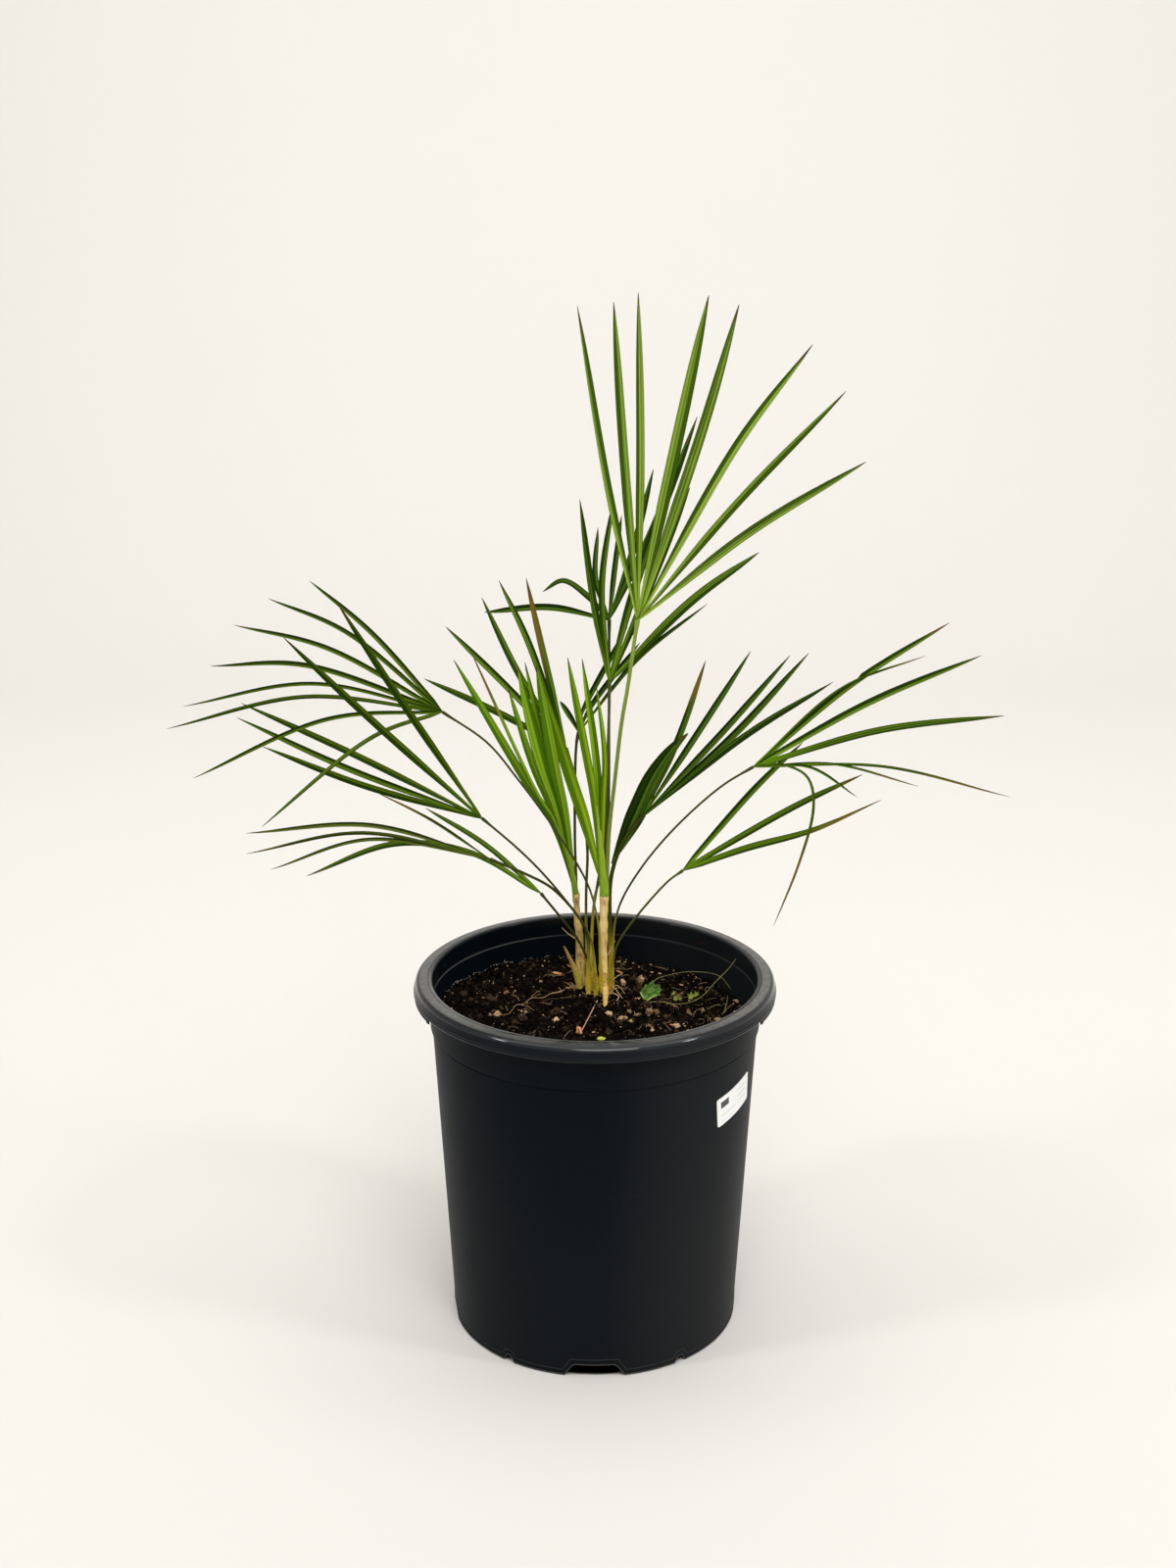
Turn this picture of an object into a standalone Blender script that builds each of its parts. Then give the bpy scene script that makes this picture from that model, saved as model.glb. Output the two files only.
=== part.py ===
"""Potted thatch palm in a black growers' pot. Metres, +Z up.

The origin is the middle of the pot's underside and the front of the plant faces -Y.
Every frond is one solid: a petiole that stands in its own hole in the soil, a small hub
and folded leaflets. Lengths in the values and tables below are millimetres, angles are
degrees, and MM turns millimetres into metres.
"""

import math
import random

import bmesh
import bpy
from mathutils import Matrix, Vector

MM = 0.001
GAP = 0.3
SEED = 7

# Pot sizes in millimetres
POT_HEIGHT = 286.0
RIM_CHAMFER = 0.8
COLLAR_BOTTOM = 247.0
COLLAR_PROUD = 1.5
WALL_TOP_RADIUS = 126.2
WALL_BASE_RADIUS = 112.3
WALL_THICKNESS = 2.0
FLOOR_THICKNESS = 2.0
INNER_STEP_HEIGHT = 270.0
INNER_STEP_PROUD = 0.6
POT_SEGMENTS = 60

# Outlines of (radius, height): the rim's outer corner, the bead and the hollow inside the lip
RIM_CORNER = [(137.0, 284.8), (138.1, 284.3), (138.7, 283.2), (139.0, 281.8)]
LIP_BEAD = [(140.0, 277.4), (140.4, 276.6), (139.9, 275.8), (140.3, 275.0), (139.7, 274.0)]
LIP_HOLLOW = [(138.1, 274.0), (136.4, 282.2), (129.6, 282.2), (129.0, 272.0)]
FOOT_CORNER = [(111.6, 0.9), (109.7, 0.0)]
FOOT_CORNER_TOP = 3.0

# Drain notches round the foot and grip skirts under the lip, angles from the front towards +X
LARGE_NOTCH_ANGLES = (0.0, 94.0, 180.0, 274.0)
SMALL_NOTCH_ANGLES = (36.0, 144.0, 216.0, 324.0)
LARGE_NOTCH = (46.0, 33.0, 11.0)
SMALL_NOTCH = (10.5, 3.0, 6.5)
NOTCH_INNER_RADIUS = 104.0
NOTCH_OUTER_RADIUS = 122.0
NOTCH_BELOW = 1.0
GRIP_MIDDLES = (90.0, 270.0)
GRIP_SPAN = 53.0
GRIP_RADII = (138.4, 139.5)
GRIP_HEIGHTS = (271.4, 274.7)
GRIP_STEPS = 12

# Sticker on the wall, its right end turned up
LABEL_ANGLE = 58.3
LABEL_MIDDLE_HEIGHT = 210.3
LABEL_WIDTH = 47.0
LABEL_HEIGHT = 24.0
LABEL_TILT = 8.0
LABEL_CORNER = 2.0
LABEL_THICKNESS = 0.6
LABEL_COLUMNS = 12

# Soil: a level with two crossed ripples, two grains and a mound at the stems
SOIL_LEVEL = 251.0
RIPPLE_HEIGHT = 1.1
RIPPLE_WAVES = (0.105, 0.12)
RIPPLE_SHIFTS = (0.6, -0.4)
GRAIN_HEIGHTS = (0.7, 0.6)
GRAIN_WAVES = ((0.31, 0.17), (-0.11, 0.37))
GRAIN_SHIFT = 1.0
MOUND_HEIGHT = 2.0
MOUND_Y = 50.0
MOUND_SPREAD = 900.0
SOIL_RINGS = 8
SOIL_RING_POWER = 0.85
SOIL_EDGE_DROP = 4.0
LUMP_COUNT = 20
LUMP_REACH = 108.0
LUMP_SIZES = (2.2, 4.4)
LUMP_RISE = 0.1

# Holes in the soil
HOLE_CLEARANCE = 0.5
HOLE_DEPTH = 22.0
STEM_HOLE_DEPTH = 30.0
SHOOT_HOLE_DEPTH = 20.0
WEED_HOLE_DEPTH = 8.0
HOLE_ABOVE = 8.0
HOLE_SIDES = 9
FOOT_HEIGHTS = (6.0, 0.0, -20.0)

# Places that lumps stay out of: x, y and radius
KEEP_CLEAR = [(0, 50, 34), (-30, 38, 10), (-45, 33, 10), (-58, 20, 10), (-70, -4, 12),
              (3, 20, 10), (-2, 2, 10), (-6, -18, 10), (-11, -40, 10), (44, 32, 15), (60, 30, 14),
              (76, 28, 16), (92, 32, 14), (104, 40, 14), (56, 48, 12)]

# Leaflets: their root is a little wide, and they taper from the middle to the tip
LEAF_THICKNESS = 0.7
LEAF_SECTIONS = 6
LEAF_ROOT_HALF = 1.4
LEAF_TAPER = 0.86
LEAF_TAPER_START = 0.5
LEAF_TAPER_POWER = 1.6
LEAF_STEPS = 6
FOLD_DEPTH = 0.2
PETIOLE_SIDES = 5
PETIOLE_STEPS = 2
FOOT_FLARE_HEIGHT = 45.0
ROD_STEPS = 3

# Stems, shoot and twigs: hand-set points from the lower end up
STEMS = [
    {"name": "stem_left", "radii": (3.9, 2.6), "color": (0.16, 0.10, 0.055),
     "route": [(-11, 58, 229), (-11, 58, 251), (-12, 57, 290), (-14, 56, 312), (-15, 55, 331.6)]},
    {"name": "stem_right", "radii": (3.4, 3.5), "color": (0.52, 0.38, 0.22),
     "route": [(7, 48, 229), (7, 48, 251), (6.6, 48, 290), (7, 48, 318), (7.2, 47.6, 340.2)]},
]
STEM_SIDES = 10
STEM_SWELL = 0.18
STEM_SWELL_PACE = 2.1
SHOOT_ROUTE = [(-12.5, 48.6, 236), (-12.5, 48.6, 252), (-17, 49, 270), (-25, 50, 289)]
SHOOT_RADII = [1.9, 1.9, 1.9, 1.9, 1.8, 1.7, 1.5, 1.2, 0.9, 0.5]
TWIGS = {
    "twig_left": [(-15, 53.4, 294), (-21, 51, 299), (-26, 49, 305)],
    "twig_right": [(11.3, 48.4, 283.5), (13.6, 50.4, 288.5), (16, 51.5, 293)],
}
TWIG_RADII = [1.1, 1.0, 0.8]

# Seedling: its stalk's heights are above the soil, and each lobe is a turn and a reach
WEED_FOOT = (41.0, 23.0)
WEED_RADIUS = 0.9
WEED_STALK = [(41.0, 23.0, -6.0), (41.0, 23.0, 1.5), (41.4, 24.4, 3.6), (42.6, 26.4, 5.6)]
WEED_STALK_RADII = [0.9, 0.9, 0.8, 0.8]
WEED_LOBES = ((-80, 7.0), (-28, 10.0), (28, 12.0), (85, 8.0))
WEED_HEADING = 52.0
WEED_LOBE_WIDTH = 5.5
WEED_LOBE_RISE = 0.55
WEED_LOBE_ARCH = 1.0
WEED_LOBE_WEB = 0.9
WEED_LOBE_SECTIONS = 4
WEED_FACE = (0, -0.5, 0.85)
WEED_KNOB = 1.3
TENDRIL_GROUND = [(53, 22), (64, 20.5), (76, 20)]
TENDRIL_LIFT = 1.8
TENDRIL_RISE = [(86, 23, 259), (95, 31, 266), (106, 44, 272), (112.5, 52, 277.5)]
TENDRIL_RADIUS = 0.6

# Root and stick that lie on the soil
STRANDS = [
    {"name": "root_strand", "color": (0.36, 0.22, 0.11),
     "ground": [(-71, -6), (-60, 15), (-50, 30), (-39, 33), (-29, 39), (-23, 46)]},
    {"name": "soil_stick", "color": (0.50, 0.40, 0.27),
     "ground": [(2, 25), (-2, 5), (-7, -18), (-11, -42)]},
]
STRAND_RADIUS = 1.0
STRAND_LIFT = 0.75

LEAF_COLORS = {
    "bright": (0.20, 0.36, 0.06),
    "lime": (0.30, 0.44, 0.07),
    "green": (0.12, 0.25, 0.06),
    "dark": (0.055, 0.13, 0.045),
}

# Each leaflet is its hand-set points from the hub outward and its width
FRONDS = [
    {"name": "frond_crown_front", "color": "bright", "hub": (32, 40, 557), "face": (0.1, -1, 0.15),
     "knob": 2.6, "web": 0.17, "slim": 1.5, "thick": 1.5,
     "route": [(29, 40, 536), (25, 40, 506), (20, 41, 474), (15, 43, 427), (11, 45, 386), (9.3, 47.6, 340.6)],
     "leaflets": [
         ([(-24, -14, 108), (-45, -30, 235)], 6.5),
         ([(-10, -4, 114), (-19, -8, 236)], 6.5),
         ([(1, 5, 120), (-1, 12, 241)], 6.5),
         ([(30, 11, 141), (51, 25, 238)], 8.5),
         ([(44, 9, 134), (73, 20, 232)], 8.5),
         ([(68, -4, 126), (125, -8, 206)], 7.0),
         ([(72, -20, 93), (146, -45, 177)], 6.5),
         ([(77, -38, 72), (157, -85, 133)], 6.0)]},
    {"name": "frond_crown_middle", "color": "green", "hub": (11, 70, 501), "face": (0, -1, 0.1),
     "knob": 2.4, "web": 0.2, "slim": 1.1, "thick": 1.5, "foot": (-3, 51),
     "route": [(11, 69, 481), (10, 67, 451), (9, 65, 420), (8, 62, 373), (3, 57, 345), (-2, 53, 310)],
     "leaflets": [
         ([(-13, 11, 64), (-23, 25, 138)], 5.5),
         ([(-6, 7, 73), (3, 15, 142)], 5.0),
         ([(17, 11, 64), (48, 25, 158)], 6.5),
         ([(29, 16, 67), (62, 35, 146)], 6.0),
         ([(62, 20, 58), (117, 45, 93)], 7.0)]},
    {"name": "frond_crown_back", "color": "dark", "hub": (11, 110, 541), "face": (0, -1, 0.25),
     "knob": 2.4, "web": 0.2, "slim": 1.1, "thick": 1.5, "foot": (-3.5, 57),
     "route": [(11, 108, 496), (11, 100, 458), (11, 85, 413), (10, 72, 369), (5, 64, 345), (-1, 60, 320)],
     "leaflets": [
         ([(-48, 32, 3), (-102, 70, -10)], 5.5),
         ([(-17, 8, 17), (-36, 19, 27), (-53, 30, 16)], 5.0),
         ([(-11, 18, 30), (-9, 40, 66)], 4.5),
         ([(4, 23, 33), (10, 50, 74)], 4.5),
         ([(18, 20, 49), (35, 45, 112)], 5.5),
         ([(36, 27, 71), (64, 60, 136)], 6.0),
         ([(39, 38, 73), (71, 85, 148)], 6.0)]},
    {"name": "frond_left_back", "color": "dark", "hub": (-13, 92, 454), "face": (0, -1, 0.3),
     "knob": 2.2, "web": 0.2, "slim": 1.1, "thick": 1.4, "foot": (-14, 66),
     "route": [(-15, 90, 443), (-16, 84, 414), (-16, 76, 368), (-15, 70, 338), (-14.5, 67, 297)],
     "leaflets": [
         ([(-8, 4, 14), (-15, 10, 23)], 4.5),
         ([(4, -1, 20), (38, -2, 86)], 4.5),
         ([(12, 0, 25), (48, 4, 72)], 4.5),
         ([(46, -2, 60), (100, -4, 105)], 5.5)]},
    {"name": "frond_left_upper", "color": "green", "hub": (-23, 82, 444), "face": (-0.2, -1, 0.2),
     "knob": 2.4, "web": 0.2, "slim": 1.1, "thick": 1.4, "foot": (-6, 65),
     "route": [(-19, 81, 432), (-14, 79, 415), (-9, 75, 392), (-6, 69, 362), (-7, 66, 331), (-7, 65, 300)],
     "leaflets": [
         ([(-17, 11, 72), (-31, 25, 131)], 5.5),
         ([(-28, 18, 78), (-53, 40, 126)], 5.5),
         ([(-36, 20, 53), (-67, 45, 111)], 5.5),
         ([(-47, 14, 47), (-95, 30, 91)], 5.5),
         ([(-54, 2, 29), (-111, 5, 55)], 5.5)]},
    {"name": "frond_left_wide", "color": "green", "hub": (-115, 15, 492), "face": (-0.15, -0.75, 0.65),
     "knob": 2.6, "web": 0.2, "slim": 1.1, "thick": 2.2, "foot": (5.6, 40.5),
     "route": [(-82, 16, 468), (-58, 18, 437), (-35, 21, 403), (-15, 26, 369), (-3, 31, 341), (3, 34, 311),
               (4, 37, 287)],
     "leaflets": [
         ([(-55, 50, 47), (-111, 110, 77)], 6.0),
         ([(-72, 43, 49), (-142, 95, 66)], 6.5),
         ([(-86, 32, 40), (-166, 72, 50)], 6.5),
         ([(-100, 20, 30), (-181, 45, 24)], 6.5),
         ([(-98, 7, 20), (-198, 15, 0)], 6.5),
         ([(-103, -5, 13), (-206, -12, -10)], 6.5),
         ([(-86, -27, 1), (-179, -60, -34)], 6.5),
         ([(-53, -45, -10), (-124, -100, -58)], 6.5)]},
    {"name": "frond_left_middle", "color": "green", "hub": (-85, -10, 416), "face": (-0.3, -1, 0.3),
     "knob": 2.6, "web": 0.2, "slim": 1.1, "thick": 2.0, "foot": (0.8, 38),
     "route": [(-58, -6, 390), (-37, 3, 364), (-17, 13, 334), (-5, 24, 310), (-1, 31, 290)],
     "leaflets": [
         ([(-55, -16, 93), (-99, -35, 173)], 7.5),
         ([(-78, -23, 83), (-136, -52, 152)], 7.5),
         ([(-96, 19, 44), (-184, 42, 78)], 6.5),
         ([(-99, 22, 31), (-189, 48, 65)], 6.0),
         ([(-90, 24, 18), (-171, 54, 40)], 6.0)]},
    {"name": "frond_left_low", "color": "dark", "hub": (-80, 5, 378), "face": (-0.1, -0.8, 0.6),
     "knob": 2.4, "web": 0.2, "slim": 1.1, "thick": 2.0, "foot": (-5, 39),
     "route": [(-53, 8, 365), (-32, 15, 350), (-13, 27, 323), (-6, 33, 303), (-5, 37, 278)],
     "leaflets": [
         ([(-88, -20, 34), (-178, -45, 36)], 6.0),
         ([(-97, 7, 19), (-189, 15, -1)], 6.0),
         ([(-94, 27, 7), (-178, 60, -30)], 5.5),
         ([(-42, -27, 40), (-78, -60, 72)], 5.0)]},
    {"name": "frond_left_short", "color": "dark", "hub": (-42, 30, 341), "face": (-0.1, -0.8, 0.6),
     "knob": 2.2, "web": 0.2, "slim": 1.1, "thick": 1.8, "foot": (-1.5, 44.5),
     "route": [(-25, 32, 318), (-13, 37, 299), (-5, 42, 278)],
     "leaflets": [
         ([(-55, 13, 29), (-118, 28, 31), (-189, 45, -2)], 6.5),
         ([(-44, 18, 34), (-92, 40, 57)], 5.5)]},
    {"name": "frond_right_pleated", "color": "dark", "hub": (37, 52, 397), "face": (0.3, -1, 0.2),
     "knob": 2.6, "web": 0.16, "slim": 1.6, "thick": 2.0, "foot": (12.5, 55.5),
     "route": [(25, 54, 381), (16, 56, 359), (12, 57, 337), (12, 56, 304)],
     "leaflets": [
         ([(27, 14, 58), (49, 30, 118)], 5.5),
         ([(44, 20, 64), (85, 45, 122)], 5.5),
         ([(61, 16, 63), (115, 35, 121)], 5.5),
         ([(68, 5, 63), (127, 10, 129)], 6.0),
         ([(76, -9, 67), (143, -20, 114)], 5.5),
         ([(15, 3, 45), (36, 6, 76)], 11.0)]},
    {"name": "frond_right_wide", "color": "green", "hub": (120, 15, 449), "face": (0.15, -0.75, 0.65),
     "knob": 2.6, "web": 0.2, "slim": 1.2, "thick": 2.2, "foot": (13.5, 49),
     "route": [(99, 17, 435), (79, 19, 417), (58, 22, 394), (39, 27, 368), (23, 33, 339), (16, 39, 315),
               (14.2, 45, 288)],
     "leaflets": [
         ([(77, 43, 53), (159, 95, 90)], 6.5),
         ([(67, 36, 51), (139, 80, 67)], 5.0),
         ([(89, 27, 43), (179, 60, 72)], 6.5),
         ([(94, 5, 27), (190, 12, 37)], 6.5),
         ([(96, -18, 6), (188, -40, -11)], 5.0),
         ([(58, -29, 11), (116, -65, 5)], 4.5),
         ([(39, -34, 10), (70, -75, 0)], 5.5),
         ([(20, -7, 4), (40, -15, -4), (44, -23, -29), (33, -32, -69), (15, -42, -113)], 5.5)]},
    {"name": "frond_right_low", "color": "dark", "hub": (68, 25, 362), "face": (0.1, -0.8, 0.6),
     "knob": 2.4, "web": 0.2, "slim": 1.2, "thick": 2.2, "foot": (12, 42),
     "route": [(55, 26, 351), (34, 30, 324), (19, 35, 299), (14, 39, 280)],
     "leaflets": [
         ([(80, -5, 51), (135, -10, 81)], 6.5),
         ([(76, -14, 33), (147, -30, 67)], 7.0),
         ([(54, 23, 57), (95, 50, 89)], 5.5)]},
    {"name": "young_leaf_left", "color": "green", "hub": (-16, 54.5, 336), "face": (-0.25, -1, 0.1),
     "knob": 0, "web": 0.11, "slim": 1.9, "thick": 1.9,
     "route": [(-15.6, 54.8, 334), (-15.2, 55, 332)],
     "leaflets": [
         ([(-15, -4, 60), (-33, -3, 105), (-51, -4, 166)], 6.0),
         ([(-14, -2, 62), (-30, -1, 106), (-50, -3, 178)], 6.0),
         ([(-12, -5, 62), (-25, -6, 106), (-43, -5, 182)], 8.0),
         ([(-8, -5, 62), (-16, -7, 106), (-29, -5, 183)], 7.5),
         ([(-10, 0, 62), (-21, 2, 106), (-38, 3, 184)], 5.5),
         ([(-16, -5, 55), (-38, -9, 93), (-92, -6, 188)], 6.0),
         ([(-14, -8, 55), (-34, -12, 93), (-80, -13, 200)], 4.0)]},
    {"name": "young_leaf_right", "color": "lime", "hub": (5, 46.5, 346), "face": (0.1, -1, 0.1),
     "knob": 0, "web": 0.1, "slim": 1.5, "thick": 1.5,
     "route": [(5, 46.8, 343), (5, 47, 340.6)],
     "leaflets": [
         ([(-5, 0, 63), (-12, -1, 105), (-26, -2, 181)], 6.5),
         ([(-2, 1, 63), (-5, 1, 105), (-15, 2, 179)], 6.0),
         ([(1, -1, 63), (2, -1, 105), (-4, -1, 158)], 3.5),
         ([(-13, 4, 48), (-26, 10, 88), (-46, 17, 152)], 9.0)]},
]


def wall_radius(height):
    """Outer radius of the tapered wall at a height."""
    return WALL_BASE_RADIUS + (WALL_TOP_RADIUS - WALL_BASE_RADIUS) * height / COLLAR_BOTTOM


def inner_radius(height):
    """Inner radius of the wall below its inner step."""
    low = wall_radius(FLOOR_THICKNESS) - WALL_THICKNESS
    high = wall_radius(INNER_STEP_HEIGHT) - WALL_THICKNESS - INNER_STEP_PROUD
    share = (height - FLOOR_THICKNESS) / (INNER_STEP_HEIGHT - 1.0 - FLOOR_THICKNESS)
    return low + (high - low) * share


def soil_height(x, y):
    """Height of the uneven soil surface, which rises a little towards the stems."""
    ripple = RIPPLE_HEIGHT * math.sin(x * RIPPLE_WAVES[0] + RIPPLE_SHIFTS[0])
    ripple *= math.cos(y * RIPPLE_WAVES[1] + RIPPLE_SHIFTS[1])
    first, second = GRAIN_WAVES
    grain = GRAIN_HEIGHTS[0] * math.sin(x * first[0] + y * first[1])
    grain += GRAIN_HEIGHTS[1] * math.cos(x * second[0] + y * second[1] + GRAIN_SHIFT)
    mound = MOUND_HEIGHT * math.exp(-(x * x + (y - MOUND_Y) ** 2) / MOUND_SPREAD)
    return SOIL_LEVEL + ripple + grain + mound


def soil_ring_radius(ring):
    """Radius of one ring of the soil's facets."""
    outer = inner_radius(SOIL_LEVEL - SOIL_EDGE_DROP) - GAP
    return outer * (ring / SOIL_RINGS) ** SOIL_RING_POWER


def facet_height(x, y):
    """Height of the faceted soil surface, which things that lie on it are set against."""
    radius = math.hypot(x, y)
    ring = max(k for k in range(SOIL_RINGS) if soil_ring_radius(k) <= radius)
    low, high = soil_ring_radius(ring), soil_ring_radius(ring + 1)
    along = (radius - low) / (high - low)
    turn = (math.atan2(y, x) % math.tau) / math.tau * POT_SEGMENTS
    heights = []
    for segment in (math.floor(turn), math.floor(turn) + 1):
        angle = math.tau * segment / POT_SEGMENTS
        for edge in (low, high):
            heights.append(soil_height(edge * math.cos(angle), edge * math.sin(angle)))
    near = heights[0] + (heights[1] - heights[0]) * along
    far = heights[2] + (heights[3] - heights[2]) * along
    return near + (far - near) * (turn - math.floor(turn))


def clear_scene():
    """Remove every object, so that the script gives the same result each run."""
    for item in list(bpy.data.objects):
        bpy.data.objects.remove(item, do_unlink=True)


def make_material(name, color, roughness):
    """Return a Principled material of one colour."""
    material = bpy.data.materials.new(name)
    material.use_nodes = True
    shader = material.node_tree.nodes["Principled BSDF"]
    shader.inputs["Base Color"].default_value = (*color, 1.0)
    shader.inputs["Roughness"].default_value = roughness
    return material


def mesh_object(name, vertices, faces):
    """Make an object from millimetre vertices and link it to the scene."""
    mesh = bpy.data.meshes.new(name)
    mesh.from_pydata([Vector(v) * MM for v in vertices], [], faces)
    mesh.validate()
    item = bpy.data.objects.new(name, mesh)
    bpy.context.scene.collection.objects.link(item)
    orient_outward(item)
    return item


def orient_outward(item):
    """Turn every face of a mesh object outward and split it into triangles."""
    work = bmesh.new()
    work.from_mesh(item.data)
    bmesh.ops.triangulate(work, faces=work.faces)
    bmesh.ops.recalc_face_normals(work, faces=work.faces)
    work.to_mesh(item.data)
    work.free()


def shade_round(item, degrees=35.0):
    """Shade smooth, with edges sharper than the angle kept sharp."""
    item.data.shade_smooth()
    item.data.set_sharp_from_angle(angle=math.radians(degrees))


def evaluated_copy(item):
    """Return the item's mesh with its modifiers applied."""
    graph = bpy.context.evaluated_depsgraph_get()
    return bpy.data.meshes.new_from_object(item.evaluated_get(graph))


def apply_modifiers(item):
    """Replace the item's mesh with its evaluated one."""
    mesh = evaluated_copy(item)
    item.modifiers.clear()
    item.data = mesh


def signed_volume(faces):
    """Volume enclosed by a set of faces, negative where they face inward."""
    total = 0.0
    for face in faces:
        corners = [loop.vert.co for loop in face.loops]
        for second, third in zip(corners[1:], corners[2:]):
            total += corners[0].dot(second.cross(third)) / 6.0
    return total


def keep_largest_body(item):
    """Fill sealed hollows and drop loose scraps: only the largest outer shell stays."""
    work = bmesh.new()
    work.from_mesh(item.data)
    left = set(work.faces)
    shells = []
    while left:
        shell = [left.pop()]
        for face in shell:
            for edge in face.edges:
                for neighbour in edge.link_faces:
                    if neighbour in left:
                        left.remove(neighbour)
                        shell.append(neighbour)
        shells.append(shell)
    shells.sort(key=signed_volume)
    loose = [face for shell in shells[:-1] for face in shell]
    bmesh.ops.delete(work, geom=loose, context="FACES")
    work.to_mesh(item.data)
    work.free()


def boolean(item, others, operation):
    """Join or cut a body with a list of others by one modifier, then remove the others."""
    group = bpy.data.collections.new(item.name + "_tools")
    bpy.context.scene.collection.children.link(group)
    for other in others:
        bpy.context.scene.collection.objects.unlink(other)
        group.objects.link(other)
    modifier = item.modifiers.new("join", "BOOLEAN")
    modifier.operation = operation
    modifier.operand_type = "COLLECTION"
    modifier.collection = group
    modifier.solver = "MANIFOLD"
    apply_modifiers(item)
    for other in list(group.objects):
        bpy.data.objects.remove(other, do_unlink=True)
    bpy.data.collections.remove(group)
    keep_largest_body(item)


def turned(name, profile, segments):
    """Turn a closed profile of (radius, height) points round the Z axis."""
    work = bmesh.new()
    vertices = [work.verts.new((radius * MM, 0.0, height * MM)) for radius, height in profile]
    edges = [work.edges.new(pair) for pair in zip(vertices, vertices[1:])]
    bmesh.ops.spin(work, geom=vertices + edges, cent=(0, 0, 0), axis=(0, 0, 1),
                   angle=math.tau, steps=segments, use_merge=True)
    bmesh.ops.remove_doubles(work, verts=work.verts, dist=0.000001)
    bmesh.ops.recalc_face_normals(work, faces=work.faces)
    mesh = bpy.data.meshes.new(name)
    work.to_mesh(mesh)
    work.free()
    item = bpy.data.objects.new(name, mesh)
    bpy.context.scene.collection.objects.link(item)
    return item


def grip_skirt(middle):
    """A thin curved block that hangs from the lip, round an angle from the front."""
    inner, outer = GRIP_RADII
    low, high = GRIP_HEIGHTS
    vertices = []
    for step in range(GRIP_STEPS + 1):
        angle = math.radians(middle + GRIP_SPAN * (step / GRIP_STEPS - 0.5))
        for radius, height in ((inner, low), (outer, low), (outer, high), (inner, high)):
            vertices.append((radius * math.sin(angle), -radius * math.cos(angle), height))
    faces = [(0, 1, 2, 3), tuple(4 * GRIP_STEPS + k for k in (3, 2, 1, 0))]
    for step in range(GRIP_STEPS):
        for side in range(4):
            first = 4 * step + side
            second = 4 * step + (side + 1) % 4
            faces.append((first, second, second + 4, first + 4))
    return mesh_object("grip", vertices, faces)


def notch_cutter(angle, size):
    """A trapezoid block that cuts one drain notch out of the foot of the wall."""
    bottom, top, height = size
    outline = [(-bottom / 2, -NOTCH_BELOW), (bottom / 2, -NOTCH_BELOW), (top / 2, height), (-top / 2, height)]
    vertices = []
    for radius in (NOTCH_INNER_RADIUS, NOTCH_OUTER_RADIUS):
        vertices += [(across, -radius, level) for across, level in outline]
    faces = [(0, 1, 2, 3), (7, 6, 5, 4), (0, 4, 5, 1), (1, 5, 6, 2), (2, 6, 7, 3), (3, 7, 4, 0)]
    cutter = mesh_object("notch_cutter", vertices, faces)
    cutter.data.transform(rotation_about_z(angle))
    cutter.hide_render = True
    cutter.display_type = "WIRE"
    return cutter


def rotation_about_z(degrees):
    """Rotation matrix about the pot's axis."""
    return Matrix.Rotation(math.radians(degrees), 4, "Z")


def pot_profile():
    """The pot's closed outline of radius and height, from inside its floor to below it."""
    collar_radius = wall_radius(COLLAR_BOTTOM) + COLLAR_PROUD
    step_radius = wall_radius(INNER_STEP_HEIGHT) - WALL_THICKNESS
    profile = [(0.0, FLOOR_THICKNESS), (inner_radius(FLOOR_THICKNESS), FLOOR_THICKNESS)]
    profile += [(step_radius - INNER_STEP_PROUD, INNER_STEP_HEIGHT - 1.0)]
    profile += [(step_radius, INNER_STEP_HEIGHT + 0.5), (step_radius, POT_HEIGHT - RIM_CHAMFER)]
    profile += [(step_radius + RIM_CHAMFER, POT_HEIGHT)]
    profile += RIM_CORNER + LIP_BEAD + LIP_HOLLOW
    profile += [(collar_radius, COLLAR_BOTTOM + 0.5), (wall_radius(COLLAR_BOTTOM), COLLAR_BOTTOM - 0.4)]
    profile += [(wall_radius(FOOT_CORNER_TOP), FOOT_CORNER_TOP)] + FOOT_CORNER + [(0.0, 0.0)]
    return profile


def build_pot():
    """The pot: a turned thin wall with collar and hollow lip, grip skirts and drain notches."""
    pot = turned("pot", pot_profile(), POT_SEGMENTS)
    boolean(pot, [grip_skirt(middle) for middle in GRIP_MIDDLES], "UNION")
    cutters = [notch_cutter(angle, LARGE_NOTCH) for angle in LARGE_NOTCH_ANGLES]
    cutters += [notch_cutter(angle, SMALL_NOTCH) for angle in SMALL_NOTCH_ANGLES]
    boolean(pot, cutters, "DIFFERENCE")
    pot.data.materials.append(make_material("pot_plastic", (0.018, 0.020, 0.024), 0.42))
    shade_round(pot)


def label_outline():
    """The sticker's outline laid flat: its upper edge from the right, then its lower from the left."""
    outline = []
    for side in (1, -1):
        for column in range(LABEL_COLUMNS + 1):
            across = side * (column / LABEL_COLUMNS - 0.5) * LABEL_WIDTH
            beyond = max(0.0, abs(across) - (LABEL_WIDTH / 2 - LABEL_CORNER))
            drop = LABEL_CORNER - math.sqrt(max(0.0, LABEL_CORNER ** 2 - beyond ** 2))
            outline.append(Vector((across, side * (LABEL_HEIGHT / 2 - drop))))
    turn = Matrix.Rotation(math.radians(LABEL_TILT), 2)
    return [turn @ point for point in outline]


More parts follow.
